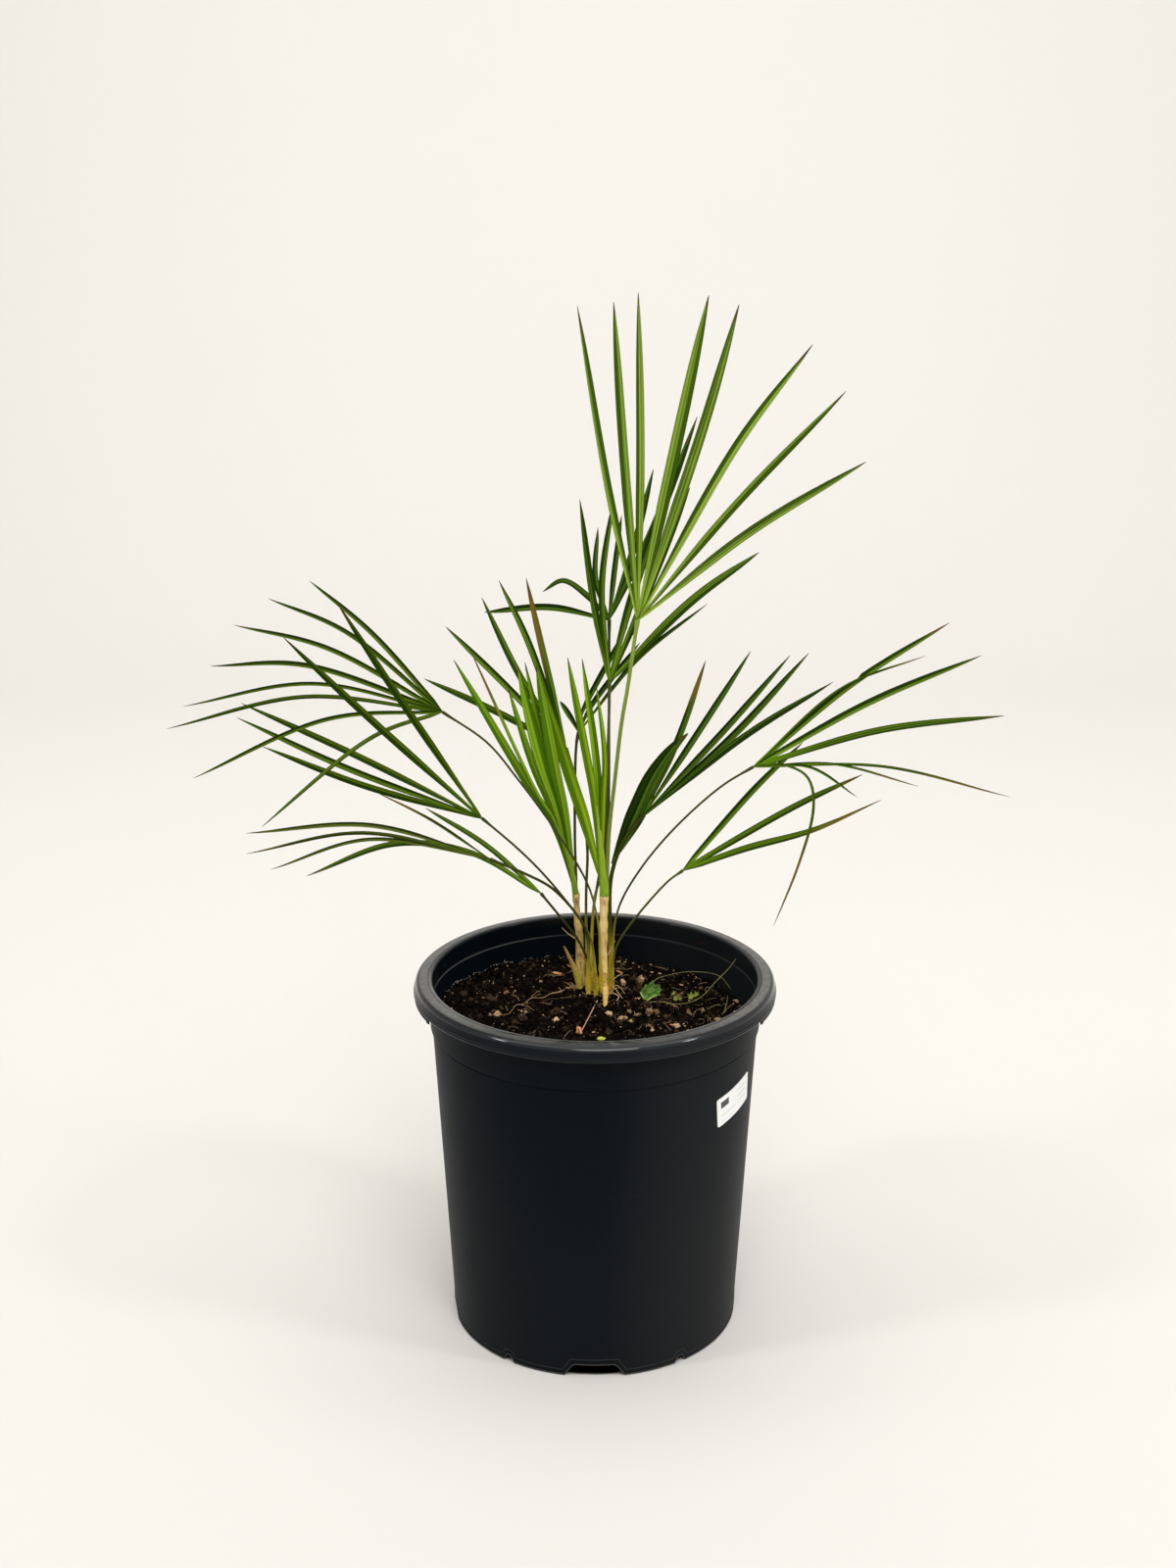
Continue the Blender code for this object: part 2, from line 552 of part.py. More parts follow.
def build_label():
    """A thin sticker with rounded corners, bent round the tapered wall."""
    outline = label_outline()
    vertices = []
    for proud in (GAP, GAP + LABEL_THICKNESS):
        for across, up in outline:
            height = LABEL_MIDDLE_HEIGHT + up
            angle = math.radians(LABEL_ANGLE) + across / wall_radius(LABEL_MIDDLE_HEIGHT)
            radius = wall_radius(height) + proud
            vertices.append((radius * math.sin(angle), -radius * math.cos(angle), height))
    count = len(outline)
    faces = []
    for column in range(LABEL_COLUMNS):
        mirror = count - 1 - column
        faces.append((column, column + 1, mirror - 1, mirror))
        faces.append((count + mirror, count + mirror - 1, count + column + 1, count + column))
    for index in range(count):
        following = (index + 1) % count
        faces.append((index, count + index, count + following, following))
    label = mesh_object("pot_label", vertices, faces)
    label.data.materials.append(make_material("label_paper", (0.82, 0.82, 0.80), 0.45))


def smooth_path(points, steps):
    """A smooth curve through hand-set points (Catmull-Rom), with equal steps per span."""
    nodes = [Vector(p) for p in points]
    padded = [nodes[0] * 2 - nodes[1]] + nodes + [nodes[-1] * 2 - nodes[-2]]
    curve = []
    for before, first, second, after in zip(padded, padded[1:], padded[2:], padded[3:]):
        for step in range(steps):
            t = step / steps
            bend = (before * 2 - first * 5 + second * 4 - after) * t * t
            bend += (first * 3 - before - second * 3 + after) * t * t * t
            curve.append((first * 2 + (second - before) * t + bend) / 2)
    curve.append(nodes[-1])
    return curve


def resample(points, count):
    """Points at equal spacing along a path."""
    lengths = [0.0]
    for first, second in zip(points, points[1:]):
        lengths.append(lengths[-1] + (second - first).length)
    result = []
    span = 0
    for index in range(count):
        target = lengths[-1] * index / (count - 1)
        while span < len(points) - 2 and lengths[span + 1] < target:
            span += 1
        share = (target - lengths[span]) / max(lengths[span + 1] - lengths[span], 1e-6)
        result.append(points[span].lerp(points[span + 1], min(1.0, share)))
    return result


def tangents(points):
    """Unit direction of a path at each of its points."""
    ahead = points[1:] + [points[-1] * 2 - points[-2]]
    behind = [points[0] * 2 - points[1]] + points[:-1]
    return [(after - before).normalized() for before, after in zip(behind, ahead)]


def loft(name, rings):
    """Skin a list of rings with the same number of points and close both ends."""
    sides = len(rings[0])
    vertices = [point for ring in rings for point in ring]
    last = len(vertices) - sides
    faces = [tuple(range(sides)), tuple(last + k for k in reversed(range(sides)))]
    for row in range(len(rings) - 1):
        for side in range(sides):
            first = row * sides + side
            second = row * sides + (side + 1) % sides
            faces.append((first, second, second + sides, first + sides))
    return mesh_object(name, vertices, faces)


def tube(name, points, radii, sides=PETIOLE_SIDES):
    """A round rod along a path, with one radius for each point."""
    directions = tangents(points)
    across = directions[0].orthogonal().normalized()
    rings = []
    for point, direction, radius in zip(points, directions, radii):
        across = (across - direction * across.dot(direction)).normalized()
        up = direction.cross(across)
        ring = []
        for side in range(sides):
            angle = math.tau * side / sides
            ring.append(point + (across * math.cos(angle) + up * math.sin(angle)) * radius)
        rings.append(ring)
    return loft(name, rings)


def leaflet(name, hub, points, width, face, web, sections=LEAF_SECTIONS):
    """One folded leaflet with its root at the hub.

    points are offsets from the hub and the last one is the tip. face is the way that the blade
    looks, and web says how fast it widens from its root, which fuses neighbours into a fan.
    """
    path = smooth_path([hub] + [hub + Vector(p) for p in points], LEAF_STEPS)
    path = resample(path, sections)
    length = sum((b - a).length for a, b in zip(path, path[1:]))
    rings = []
    for index, (point, direction) in enumerate(zip(path, tangents(path))):
        share = index / (sections - 1)
        half = min(width / 2, LEAF_ROOT_HALF + web * share * length / 2)
        late = max(0.0, (share - LEAF_TAPER_START) / (1.0 - LEAF_TAPER_START))
        half *= 1.0 - LEAF_TAPER * late ** LEAF_TAPER_POWER
        side = direction.cross(face).normalized()
        out = side.cross(direction).normalized()
        fold = out * (half * 2 * FOLD_DEPTH)
        skin = out * (LEAF_THICKNESS / 2)
        left, right = point - side * half, point + side * half
        keel = point - fold
        rings.append([left - skin, keel - skin, right - skin, right + skin, keel + skin, left + skin])
    return loft(name, rings)


def knob(name, centre, radius):
    """A small low ball that holds the roots of the leaflets."""
    work = bmesh.new()
    bmesh.ops.create_icosphere(work, subdivisions=1, radius=radius * MM)
    mesh = bpy.data.meshes.new(name)
    work.to_mesh(mesh)
    work.free()
    mesh.transform(translation(centre))
    item = bpy.data.objects.new(name, mesh)
    bpy.context.scene.collection.objects.link(item)
    return item


def translation(offset):
    """Matrix that moves by a millimetre offset."""
    return Matrix.Translation(Vector(offset) * MM)


def petiole_path(hub, route, foot):
    """Points from the hub down the hand-set route to the foot of the petiole in the soil."""
    points = [Vector(hub)] + [Vector(p) for p in route]
    if foot:
        level = soil_height(*foot)
        points += [Vector((*foot, level + rise)) for rise in FOOT_HEIGHTS]
    return smooth_path(points, PETIOLE_STEPS)


def petiole_radius(height, slim, thick, foot):
    """A petiole is thickest where it leaves the soil."""
    if not foot:
        return slim
    share = min(1.0, max(0.0, (height - SOIL_LEVEL) / FOOT_FLARE_HEIGHT))
    return thick + (slim - thick) * share


def build_frond(frond):
    """Fuse a frond's petiole, hub and leaflets into one node."""
    hub = Vector(frond["hub"])
    foot = frond.get("foot")
    path = petiole_path(hub, frond["route"], foot)
    radii = [petiole_radius(p.z, frond["slim"], frond["thick"], foot) for p in path]
    body = tube(frond["name"], path, radii)
    pieces = [knob("hub", hub, frond["knob"])] if frond["knob"] else []
    face = Vector(frond["face"]).normalized()
    for points, width in frond["leaflets"]:
        pieces.append(leaflet("leaflet", hub, points, width, face, frond["web"]))
    boolean(body, pieces, "UNION")
    color = LEAF_COLORS[frond["color"]]
    body.data.materials.append(make_material(frond["name"] + "_leaf", color, 0.45))
    shade_round(body)


def build_stems():
    """The two stems, each a tapered rod that stands in the soil."""
    for stem in STEMS:
        path = smooth_path(stem["route"], ROD_STEPS)
        low, high = stem["radii"]
        radii = []
        for index in range(len(path)):
            swell = STEM_SWELL * math.sin(index * STEM_SWELL_PACE)
            radii.append(low + (high - low) * index / (len(path) - 1) + swell)
        body = tube(stem["name"], path, radii, sides=STEM_SIDES)
        body.data.materials.append(make_material(stem["name"] + "_bark", stem["color"], 0.8))
        shade_round(body)


def build_shoots():
    """The pointed shoot and the two broken twig ends beside the stems."""
    shoot = tube("shoot_left", smooth_path(SHOOT_ROUTE, ROD_STEPS), SHOOT_RADII)
    shoot.data.materials.append(make_material("shoot_olive", (0.35, 0.33, 0.10), 0.6))
    shade_round(shoot)
    for name, points in TWIGS.items():
        twig = tube(name, [Vector(p) for p in points], TWIG_RADII)
        twig.data.materials.append(make_material(name + "_wood", (0.55, 0.42, 0.27), 0.8))
        shade_round(twig)


def soil_holes():
    """Where holes go down into the soil: position, radius and depth below the surface."""
    holes = [(stem["route"][0][:2], stem["radii"][0] + STEM_SWELL, STEM_HOLE_DEPTH) for stem in STEMS]
    holes.append((SHOOT_ROUTE[0][:2], SHOOT_RADII[0], SHOOT_HOLE_DEPTH))
    holes += [(frond["foot"], frond["thick"], HOLE_DEPTH) for frond in FRONDS if "foot" in frond]
    holes.append((WEED_FOOT, WEED_RADIUS, WEED_HOLE_DEPTH))
    return holes


def build_soil():
    """The peat: a plug that fills the pot, with an uneven top, lumps and plain holes."""
    bottom = FLOOR_THICKNESS + GAP
    vertices = [(0.0, 0.0, soil_height(0.0, 0.0))]
    for ring in range(1, SOIL_RINGS + 1):
        radius = soil_ring_radius(ring)
        for segment in range(POT_SEGMENTS):
            angle = math.tau * segment / POT_SEGMENTS
            x, y = radius * math.cos(angle), radius * math.sin(angle)
            vertices.append((x, y, soil_height(x, y)))
    for segment in range(POT_SEGMENTS):
        angle = math.tau * segment / POT_SEGMENTS
        radius = inner_radius(bottom) - GAP
        vertices.append((radius * math.cos(angle), radius * math.sin(angle), bottom))
    faces = []
    for segment in range(POT_SEGMENTS):
        following = (segment + 1) % POT_SEGMENTS
        faces.append((0, 1 + segment, 1 + following))
        for ring in range(SOIL_RINGS):
            base = 1 + ring * POT_SEGMENTS
            faces.append((base + segment, base + POT_SEGMENTS + segment,
                          base + POT_SEGMENTS + following, base + following))
    last = 1 + SOIL_RINGS * POT_SEGMENTS
    faces.append(tuple(last + segment for segment in reversed(range(POT_SEGMENTS))))
    soil = mesh_object("soil", vertices, faces)
    boolean(soil, soil_lumps(), "UNION")
    cutters = []
    for (x, y), radius, depth in soil_holes():
        level = soil_height(x, y)
        path = [Vector((x, y, level - depth)), Vector((x, y, level + HOLE_ABOVE))]
        cutters.append(tube("hole", path, [radius + HOLE_CLEARANCE] * 2, sides=HOLE_SIDES))
    boolean(soil, cutters, "DIFFERENCE")
    soil.data.materials.append(make_material("peat", (0.045, 0.030, 0.020), 0.95))
    shade_round(soil, 60.0)


def soil_lumps():
    """Low lumps of peat, kept away from the stems, the root, the stick and the weed."""
    draw = random.Random(SEED)
    lumps = []
    while len(lumps) < LUMP_COUNT:
        radius = LUMP_REACH * math.sqrt(draw.random())
        angle = draw.random() * math.tau
        x, y = radius * math.cos(angle), radius * math.sin(angle)
        size = draw.uniform(*LUMP_SIZES)
        if any(math.hypot(x - a, y - b) < r + size for a, b, r in KEEP_CLEAR):
            continue
        lumps.append(knob("lump", (x, y, soil_height(x, y) + LUMP_RISE * size), size))
    return lumps


def build_weed():
    """The seedling: a lobed leaf on a short stalk, and a thin tendril that leans on the wall."""
    level = soil_height(*WEED_FOOT)
    stalk = [Vector((x, y, level + rise)) for x, y, rise in WEED_STALK]
    body = tube("weed_leaf", stalk, WEED_STALK_RADII)
    hub = stalk[-1]
    lobes = []
    for turn, reach in WEED_LOBES:
        angle = math.radians(turn + WEED_HEADING)
        x, y = reach * math.cos(angle), reach * math.sin(angle)
        tip = Vector((x, y * 0.8, y * WEED_LOBE_RISE + WEED_LOBE_ARCH))
        middle = tip / 2 + Vector((0, 0, WEED_LOBE_ARCH))
        lobes.append(leaflet("lobe", hub, [middle, tip], WEED_LOBE_WIDTH, Vector(WEED_FACE), WEED_LOBE_WEB,
                             sections=WEED_LOBE_SECTIONS))
    lobes.append(knob("hub", hub, WEED_KNOB))
    boolean(body, lobes, "UNION")
    body.data.materials.append(make_material("weed_green", (0.22, 0.38, 0.10), 0.5))
    shade_round(body)
    build_tendril()


def build_tendril():
    """The thin tendril, which runs over the soil and rises to the wall."""
    points = [(x, y, facet_height(x, y) + TENDRIL_LIFT) for x, y in TENDRIL_GROUND]
    path = smooth_path(points + TENDRIL_RISE, ROD_STEPS)
    tendril = tube("weed_tendril", path, [TENDRIL_RADIUS] * len(path))
    tendril.data.materials.append(make_material("tendril_brown", (0.25, 0.20, 0.11), 0.7))
    shade_round(tendril)


def build_strands():
    """The bare root and the pale stick that lie on the soil."""
    for strand in STRANDS:
        path = smooth_path([(x, y, 0.0) for x, y in strand["ground"]], ROD_STEPS)
        path = [Vector((p.x, p.y, facet_height(p.x, p.y) + STRAND_RADIUS + STRAND_LIFT)) for p in path]
        rod = tube(strand["name"], path, [STRAND_RADIUS] * len(path))
        rod.data.materials.append(make_material(strand["name"] + "_skin", strand["color"], 0.85))
        shade_round(rod)


def main():
    """Build every node of the plant and its pot."""
    clear_scene()
    build_pot()
    build_label()
    build_soil()
    build_stems()
    build_shoots()
    build_weed()
    build_strands()
    for frond in FRONDS:
        build_frond(frond)


main()
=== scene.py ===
"""Looks of the potted thatch palm: leaves, stems, soil, pot, sticker and a plain studio.

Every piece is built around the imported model. Tables and sizes below are millimetres in the
model's own frame (+Z up, front at -Y), and MM turns them into metres.
"""

import functools
import logging
import math
import random
from collections.abc import Sequence
from dataclasses import dataclass
from enum import Enum

import bmesh
import bpy
from mathutils import Matrix, Vector, noise


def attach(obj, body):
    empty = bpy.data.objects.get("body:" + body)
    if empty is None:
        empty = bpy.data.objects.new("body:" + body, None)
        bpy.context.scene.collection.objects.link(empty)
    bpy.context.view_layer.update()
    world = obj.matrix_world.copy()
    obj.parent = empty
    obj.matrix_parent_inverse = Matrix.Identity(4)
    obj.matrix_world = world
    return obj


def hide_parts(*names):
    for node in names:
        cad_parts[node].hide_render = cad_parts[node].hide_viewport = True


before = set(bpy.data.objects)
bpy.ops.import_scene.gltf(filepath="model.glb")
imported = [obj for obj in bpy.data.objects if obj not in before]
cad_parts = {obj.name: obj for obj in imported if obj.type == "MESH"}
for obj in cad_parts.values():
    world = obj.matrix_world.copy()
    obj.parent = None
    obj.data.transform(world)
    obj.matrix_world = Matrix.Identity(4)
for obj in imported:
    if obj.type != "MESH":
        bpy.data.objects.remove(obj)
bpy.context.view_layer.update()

MM = 0.001
SEED = 11
SOIL_LEVEL = 251.0
SOIL_RADIUS = 123.0
LEAF_CREASE = 32.0
SEEDLING_CREASE = 50.0
PLASTIC_CREASE = 40.0
LOG = logging.getLogger("potted_palm")

Color = tuple[float, float, float]
Point = tuple[float, float, float]
Pair = tuple[float, float]
Path = list[Vector]
Material = bpy.types.Material


class Attribute(Enum):
    """Names of the values that a mesh carries for its material."""

    ALONG = "along"
    ACROSS = "across"
    TONE = "tone"
    DRY = "dry"


class Side(Enum):
    """The two halves of a folded leaflet."""

    LEFT = -1
    RIGHT = 1


def tint(red: int, green: int, blue: int) -> Color:
    """Turn a display colour, 0 to 255, into a linear one."""
    linear = []
    for part in (red, green, blue):
        share = part / 255.0
        linear.append(share / 12.92 if share <= 0.04045 else ((share + 0.055) / 1.055) ** 2.4)
    return tuple(linear)


def soil_height(x: float, y: float) -> float:
    """Return the height of the soil at a place, on the same formula as the model's soil."""
    ripple = 1.1 * math.sin(x * 0.105 + 0.6) * math.cos(y * 0.12 - 0.4)
    grain = 0.7 * math.sin(x * 0.31 + y * 0.17) + 0.6 * math.cos(y * 0.37 - x * 0.11 + 1.0)
    mound = 2.0 * math.exp(-(x * x + (y - 50.0) ** 2) / 900.0)
    return SOIL_LEVEL + ripple + grain + mound


# Shader building


class Value:
    """A number in a shader, on which arithmetic adds Math nodes."""

    def __init__(self, graph: "Graph", socket: bpy.types.NodeSocket) -> None:
        """Wrap an output socket of a graph."""
        self.graph = graph
        self.socket = socket

    def math(self, operation: str, first: "Value | float", second: "Value | float" = 0.0) -> "Value":
        """Add one Math node with two operands, and return its result."""
        node = self.graph.node("ShaderNodeMath", {"operation": operation}, {0: first, 1: second})
        return Value(self.graph, node.outputs[0])

    def __add__(self, other: "Value | float") -> "Value":
        """Return self + other."""
        return self.math("ADD", self, other)

    def __radd__(self, other: float) -> "Value":
        """Return other + self."""
        return self.math("ADD", other, self)

    def __sub__(self, other: "Value | float") -> "Value":
        """Return self - other."""
        return self.math("SUBTRACT", self, other)

    def __rsub__(self, other: float) -> "Value":
        """Return other - self."""
        return self.math("SUBTRACT", other, self)

    def __mul__(self, other: "Value | float") -> "Value":
        """Return self * other."""
        return self.math("MULTIPLY", self, other)

    def __rmul__(self, other: float) -> "Value":
        """Return other * self."""
        return self.math("MULTIPLY", other, self)

    def __truediv__(self, other: "Value | float") -> "Value":
        """Return self / other."""
        return self.math("DIVIDE", self, other)

    def __rtruediv__(self, other: float) -> "Value":
        """Return other / self."""
        return self.math("DIVIDE", other, self)

    def __pow__(self, other: "Value | float") -> "Value":
        """Return self to the power of other."""
        return self.math("POWER", self, other)

    def __abs__(self) -> "Value":
        """Return the size of self without its sign."""
        return self.math("ABSOLUTE", self)

    def sine(self) -> "Value":
        """Return the sine of self."""
        return self.math("SINE", self)

    def least(self, other: "Value | float") -> "Value":
        """Return the smaller of self and other."""
        return self.math("MINIMUM", self, other)

    def most(self, other: "Value | float") -> "Value":
        """Return the larger of self and other."""
        return self.math("MAXIMUM", self, other)

    def step(self, low: float, high: float) -> "Value":
        """Return a smooth step of self.

        Args:
            low: Where the result is 0.
            high: Where the result is 1.

        Returns:
            A value between 0 and 1.
        """
        settings = {"interpolation_type": "SMOOTHSTEP"}
        node = self.graph.node("ShaderNodeMapRange", settings, {0: self, 1: low, 2: high})
        return Value(self.graph, node.outputs[0])

    def near(self, middle: float, inside: float, outside: float) -> "Value":
        """Return 1 within one distance of a middle, which fades to 0 at a second distance."""
        return 1.0 - abs(self - middle).step(inside, outside)


class Graph:
    """The node graph of one Principled material."""

    def __init__(self, name: str) -> None:
        """Make a material with a plain Principled shader.

        Args:
            name: The material's name.
        """
        self.material = bpy.data.materials.new(name)
        self.material.use_nodes = True
        self.tree = self.material.node_tree
        self.shader = self.tree.nodes["Principled BSDF"]

    def node(self, kind: str, settings: dict | None = None, inputs: dict | None = None) -> bpy.types.Node:
        """Add any node.

        Args:
            kind: The node's type.
            settings: Its properties, or a ramp's stops under the name stops.
            inputs: Values, colours or links for its sockets, by name or number.

        Returns:
            The new node.
        """
        made = self.tree.nodes.new(kind)
        for key, value in (settings or {}).items():
            if key == "stops":
                self.set_stops(made.color_ramp, value)
            else:
                setattr(made, key, value)
        for key, value in (inputs or {}).items():
            self.feed(made.inputs[key], value)
        return made

    def feed(self, socket: bpy.types.NodeSocket, value: object) -> None:
        """Link or set one input socket.

        Args:
            socket: The input.
            value: A Value, an output socket, a number or a colour.
        """
        if isinstance(value, Value):
            self.tree.links.new(value.socket, socket)
        elif isinstance(value, bpy.types.NodeSocket):
            self.tree.links.new(value, socket)
        elif isinstance(value, tuple) and len(value) == 3 and socket.type == "RGBA":
            socket.default_value = (*value, 1.0)
        else:
            socket.default_value = value

    @staticmethod
    def set_stops(ramp: bpy.types.ColorRamp, stops: list[tuple[float, Color]]) -> None:
        """Give a colour ramp its stops.

        Args:
            ramp: The ramp to change.
            stops: Pairs of place and colour.
        """
        while len(ramp.elements) < len(stops):
            ramp.elements.new(1.0)
        for element, (place, color) in zip(ramp.elements, stops):
            element.position = place
            element.color = (*color, 1.0)

    def attribute(self, attribute: Attribute) -> Value:
        """Return a value that the mesh carries."""
        node = self.node("ShaderNodeAttribute", {"attribute_name": attribute.value})
        return Value(self, node.outputs["Fac"])

    def place(self) -> bpy.types.NodeSocket:
        """Return the surface point in the object's own coordinates."""
        return self.node("ShaderNodeTexCoord").outputs["Object"]

    def noise(self, scale: float, detail: float = 2.0, vector: object = None) -> Value:
        """Add a noise texture.

        Args:
            scale: Its scale.
            detail: Its octaves.
            vector: Where it is read, or None for the object's coordinates.

        Returns:
            The noise as a value round 0.5.
        """
        where = self.place() if vector is None else vector
        inputs = {"Vector": where, "Scale": scale, "Detail": detail}
        return Value(self, self.node("ShaderNodeTexNoise", {}, inputs).outputs[0])

    def vector(self, x: Value | float, y: Value | float, z: Value | float) -> bpy.types.NodeSocket:
        """Join three values to a vector."""
        return self.node("ShaderNodeCombineXYZ", {}, {0: x, 1: y, 2: z}).outputs[0]

    def part(self, vector: bpy.types.NodeSocket, axis: str) -> Value:
        """Return one component of a vector."""
        return Value(self, self.node("ShaderNodeSeparateXYZ", {}, {0: vector}).outputs[axis])

    def radius(self, vector: bpy.types.NodeSocket) -> Value:
        """Return a place's distance from the upright axis."""
        return (self.part(vector, "X") ** 2.0 + self.part(vector, "Y") ** 2.0) ** 0.5

    def mix(self, share: Value | float, first: object, second: object) -> bpy.types.NodeSocket:
        """Mix two colours by the share of the second one that shows."""
        node = self.node("ShaderNodeMix", {"data_type": "RGBA"}, {0: share, 6: first, 7: second})
        return node.outputs[2]

    def ramp(self, value: Value, stops: list[tuple[float, Color]]) -> bpy.types.NodeSocket:
        """Turn a value into a colour by a ramp."""
        return self.node("ShaderNodeValToRGB", {"stops": stops}, {0: value}).outputs[0]

    def bump(self, height: Value, strength: float, distance: float) -> None:
        """Bump the surface by a height, of which a value of 1 stands for a distance in millimetres."""
        inputs = {"Height": height, "Strength": strength, "Distance": distance * MM}
        self.feed(self.shader.inputs["Normal"], self.node("ShaderNodeBump", {}, inputs).outputs[0])

    def finish(self, color: object, roughness: Value | float, **constants: float) -> Material:
        """Set the shader's colour, roughness and constants.

        Args:
            color: The base colour or its socket.
            roughness: The roughness.
            constants: Other sockets by name, with underscores for spaces.

        Returns:
            The finished material.
        """
        self.feed(self.shader.inputs["Base Color"], color)
        self.feed(self.shader.inputs["Roughness"], roughness)
        for name, value in constants.items():
            self.shader.inputs[name.replace("_", " ")].default_value = value
        return self.material


# Finishes


@dataclass(frozen=True)
class LeafFinish:
    """A leaf blade with veins, a pale root, a dry tip and painted shade on one half of each folded leaflet.
    """

    name: str
    blade: Color
    # The deep green also paints the shade on a leaflet's darker half.
    deep: Color
    root: Color
    rib: Color
    dry: Color = (0.150, 0.104, 0.016)
    crisp: Color = (0.085, 0.055, 0.012)
    edge: Color = (0.030, 0.045, 0.003)
    roughness: float = 0.40

    def material(self) -> Material:
        """Return the blade's material."""
        graph = Graph(self.name)
        along = graph.attribute(Attribute.ALONG)
        across = graph.attribute(Attribute.ACROSS)
        tone = graph.attribute(Attribute.TONE)
        dry = graph.attribute(Attribute.DRY)
        streak = graph.noise(1.0, 3.0, graph.vector(across * 9.0, along * 2.2, tone * 37.0))
        cloud = graph.noise(28.0, 3.0)
        band = graph.noise(1.0, 1.0, graph.vector(across * 2.2, tone * 37.0, along * 0.5))
        # Painted shade: the tone picks one half of each folded leaflet, which is drawn darker than the other.
        lean = (across * (tone * 6.0 - 3.0)).step(-0.14, 0.14)
        # The blade's light mixes the painted shade of the halves with its own bands, clouds, streaks and
        # darker upper part.
        light = lean * 0.75 + band * 0.80 + cloud * 0.25 + streak * 0.30 - along * 0.36
        shade = (light - 0.50).step(0.05, 0.85)
        color = graph.mix(shade, self.deep, self.blade)
        ridges = across * 11.0 + tone * 40.0 + streak * 2.0
        veins = (ridges.sine() * 0.5 + 0.5) ** 2.0
        color = graph.mix(veins * (shade * 0.50 + 0.06), color, self.rib)
        gap = ((ridges + 2.6).sine() * 0.5 + 0.5) ** 3.0
        color = graph.mix(gap * 0.30, color, self.deep)
        middle = 1.0 - abs(across).step(0.02, 0.09)
        color = graph.mix(middle * 0.40, color, self.rib)
        pale = (1.0 - along.step(0.0, 0.34)) ** 1.4
        color = graph.mix(pale * (shade * 0.7 + 0.15), color, self.root)
        border = abs(across).step(0.82, 0.97)
        color = graph.mix(border * 0.75, color, self.edge)
        burn = (dry + streak * 0.5 - lean * 0.22 - 0.14).step(0.25, 0.75)
        color = graph.mix(burn, color, graph.mix(along.step(0.84, 0.98), self.dry, self.crisp))
        specks = graph.noise(420.0, 2.0).step(0.66, 0.74)
        color = graph.mix(specks * 0.18, color, self.dry)
        graph.bump(veins * 0.35 + middle * 0.5 + streak * 0.3, 0.5, 0.25)
        rough = cloud * 0.16 + self.roughness - 0.08 + burn * 0.2
        return graph.finish(color, rough, Specular_IOR_Level=0.03)


@dataclass(frozen=True)
class StalkFinish:
    """A petiole that turns from its leaf's green to a dry sheath at the soil, with a painted highlight along
    one side and, where pleated, painted shade in its creases.
    """

    name: str
    top: Color
    middle: Color
    foot: Color
    # The colour of the painted highlight along the stalk's lit side.
    light: Color = (0.19, 0.20, 0.045)
    # The colour of the painted shade in the creases of a pleated stalk.
    crease: Color = (0.045, 0.100, 0.004)
    fibre: Color = (0.05, 0.035, 0.010)
    painted_crease_shade: float = 0.0
    stops: tuple[float, ...] = (0.0, 0.45, 0.62, 0.83, 1.0)

    def material(self) -> Material:
        """Return the petiole's material."""
        graph = Graph(self.name)
        along = graph.attribute(Attribute.ALONG)
        across = graph.attribute(Attribute.ACROSS)
        fibres = graph.noise(1.0, 4.0, graph.vector(across * 16.0, along * 9.0, 0.0))
        stops = zip(self.stops, (self.top, self.middle, self.middle, self.foot, self.foot))
        color = graph.ramp(along, list(stops))
        # Painted highlight: one half of the stalk's round takes the light colour.
        lit = (across * math.pi).sine().step(0.1, 0.8) * 0.4
        color = graph.mix(lit * fibres.step(0.25, 0.6), color, self.light)
        # Painted shade: dark stripes stand for the creases between pleats.
        folds = ((across * 40.0 + fibres * 1.2).sine() * 0.5 + 0.5) ** 2.0
        color = graph.mix(folds * self.painted_crease_shade, color, self.crease)
        color = graph.mix(fibres.step(0.52, 0.75) * 0.45, color, self.fibre)
        graph.bump(fibres, 0.5, 0.3)
        return graph.finish(color, fibres * 0.25 + 0.38, Specular_IOR_Level=0.08)


@dataclass(frozen=True)
class BarkFinish:
    """A fibrous stem, sheath, twig or root."""

    name: str
    light: Color
    dark: Color
    accent: Color
    stretch: float = 7.0
    tip: Color | None = None
    roughness: float = 0.72

    def material(self) -> Material:
        """Return the stem's material."""
        graph = Graph(self.name)
        along = graph.attribute(Attribute.ALONG)
        across = graph.attribute(Attribute.ACROSS)
        tone = graph.attribute(Attribute.TONE)
        place = graph.vector((across * math.pi).sine() * 4.0, along * self.stretch, tone * 19.0)
        fibres = graph.noise(3.2, 5.0, place)
        grain = graph.noise(900.0, 3.0)
        color = graph.mix((fibres * 1.5 + tone * 0.3 - 0.45).step(0.1, 0.75), self.dark, self.light)
        color = graph.mix(grain.step(0.55, 0.72) * 0.5, color, self.dark)
        color = graph.mix(graph.noise(95.0, 2.0).step(0.55, 0.7) * 0.6, color, self.accent)
        if self.tip:
            color = graph.mix(along.step(0.35, 0.95), color, self.tip)
        graph.bump(fibres * 0.7 + grain * 0.4, 0.8, 0.5)
        return graph.finish(color, self.roughness, Specular_IOR_Level=0.12)


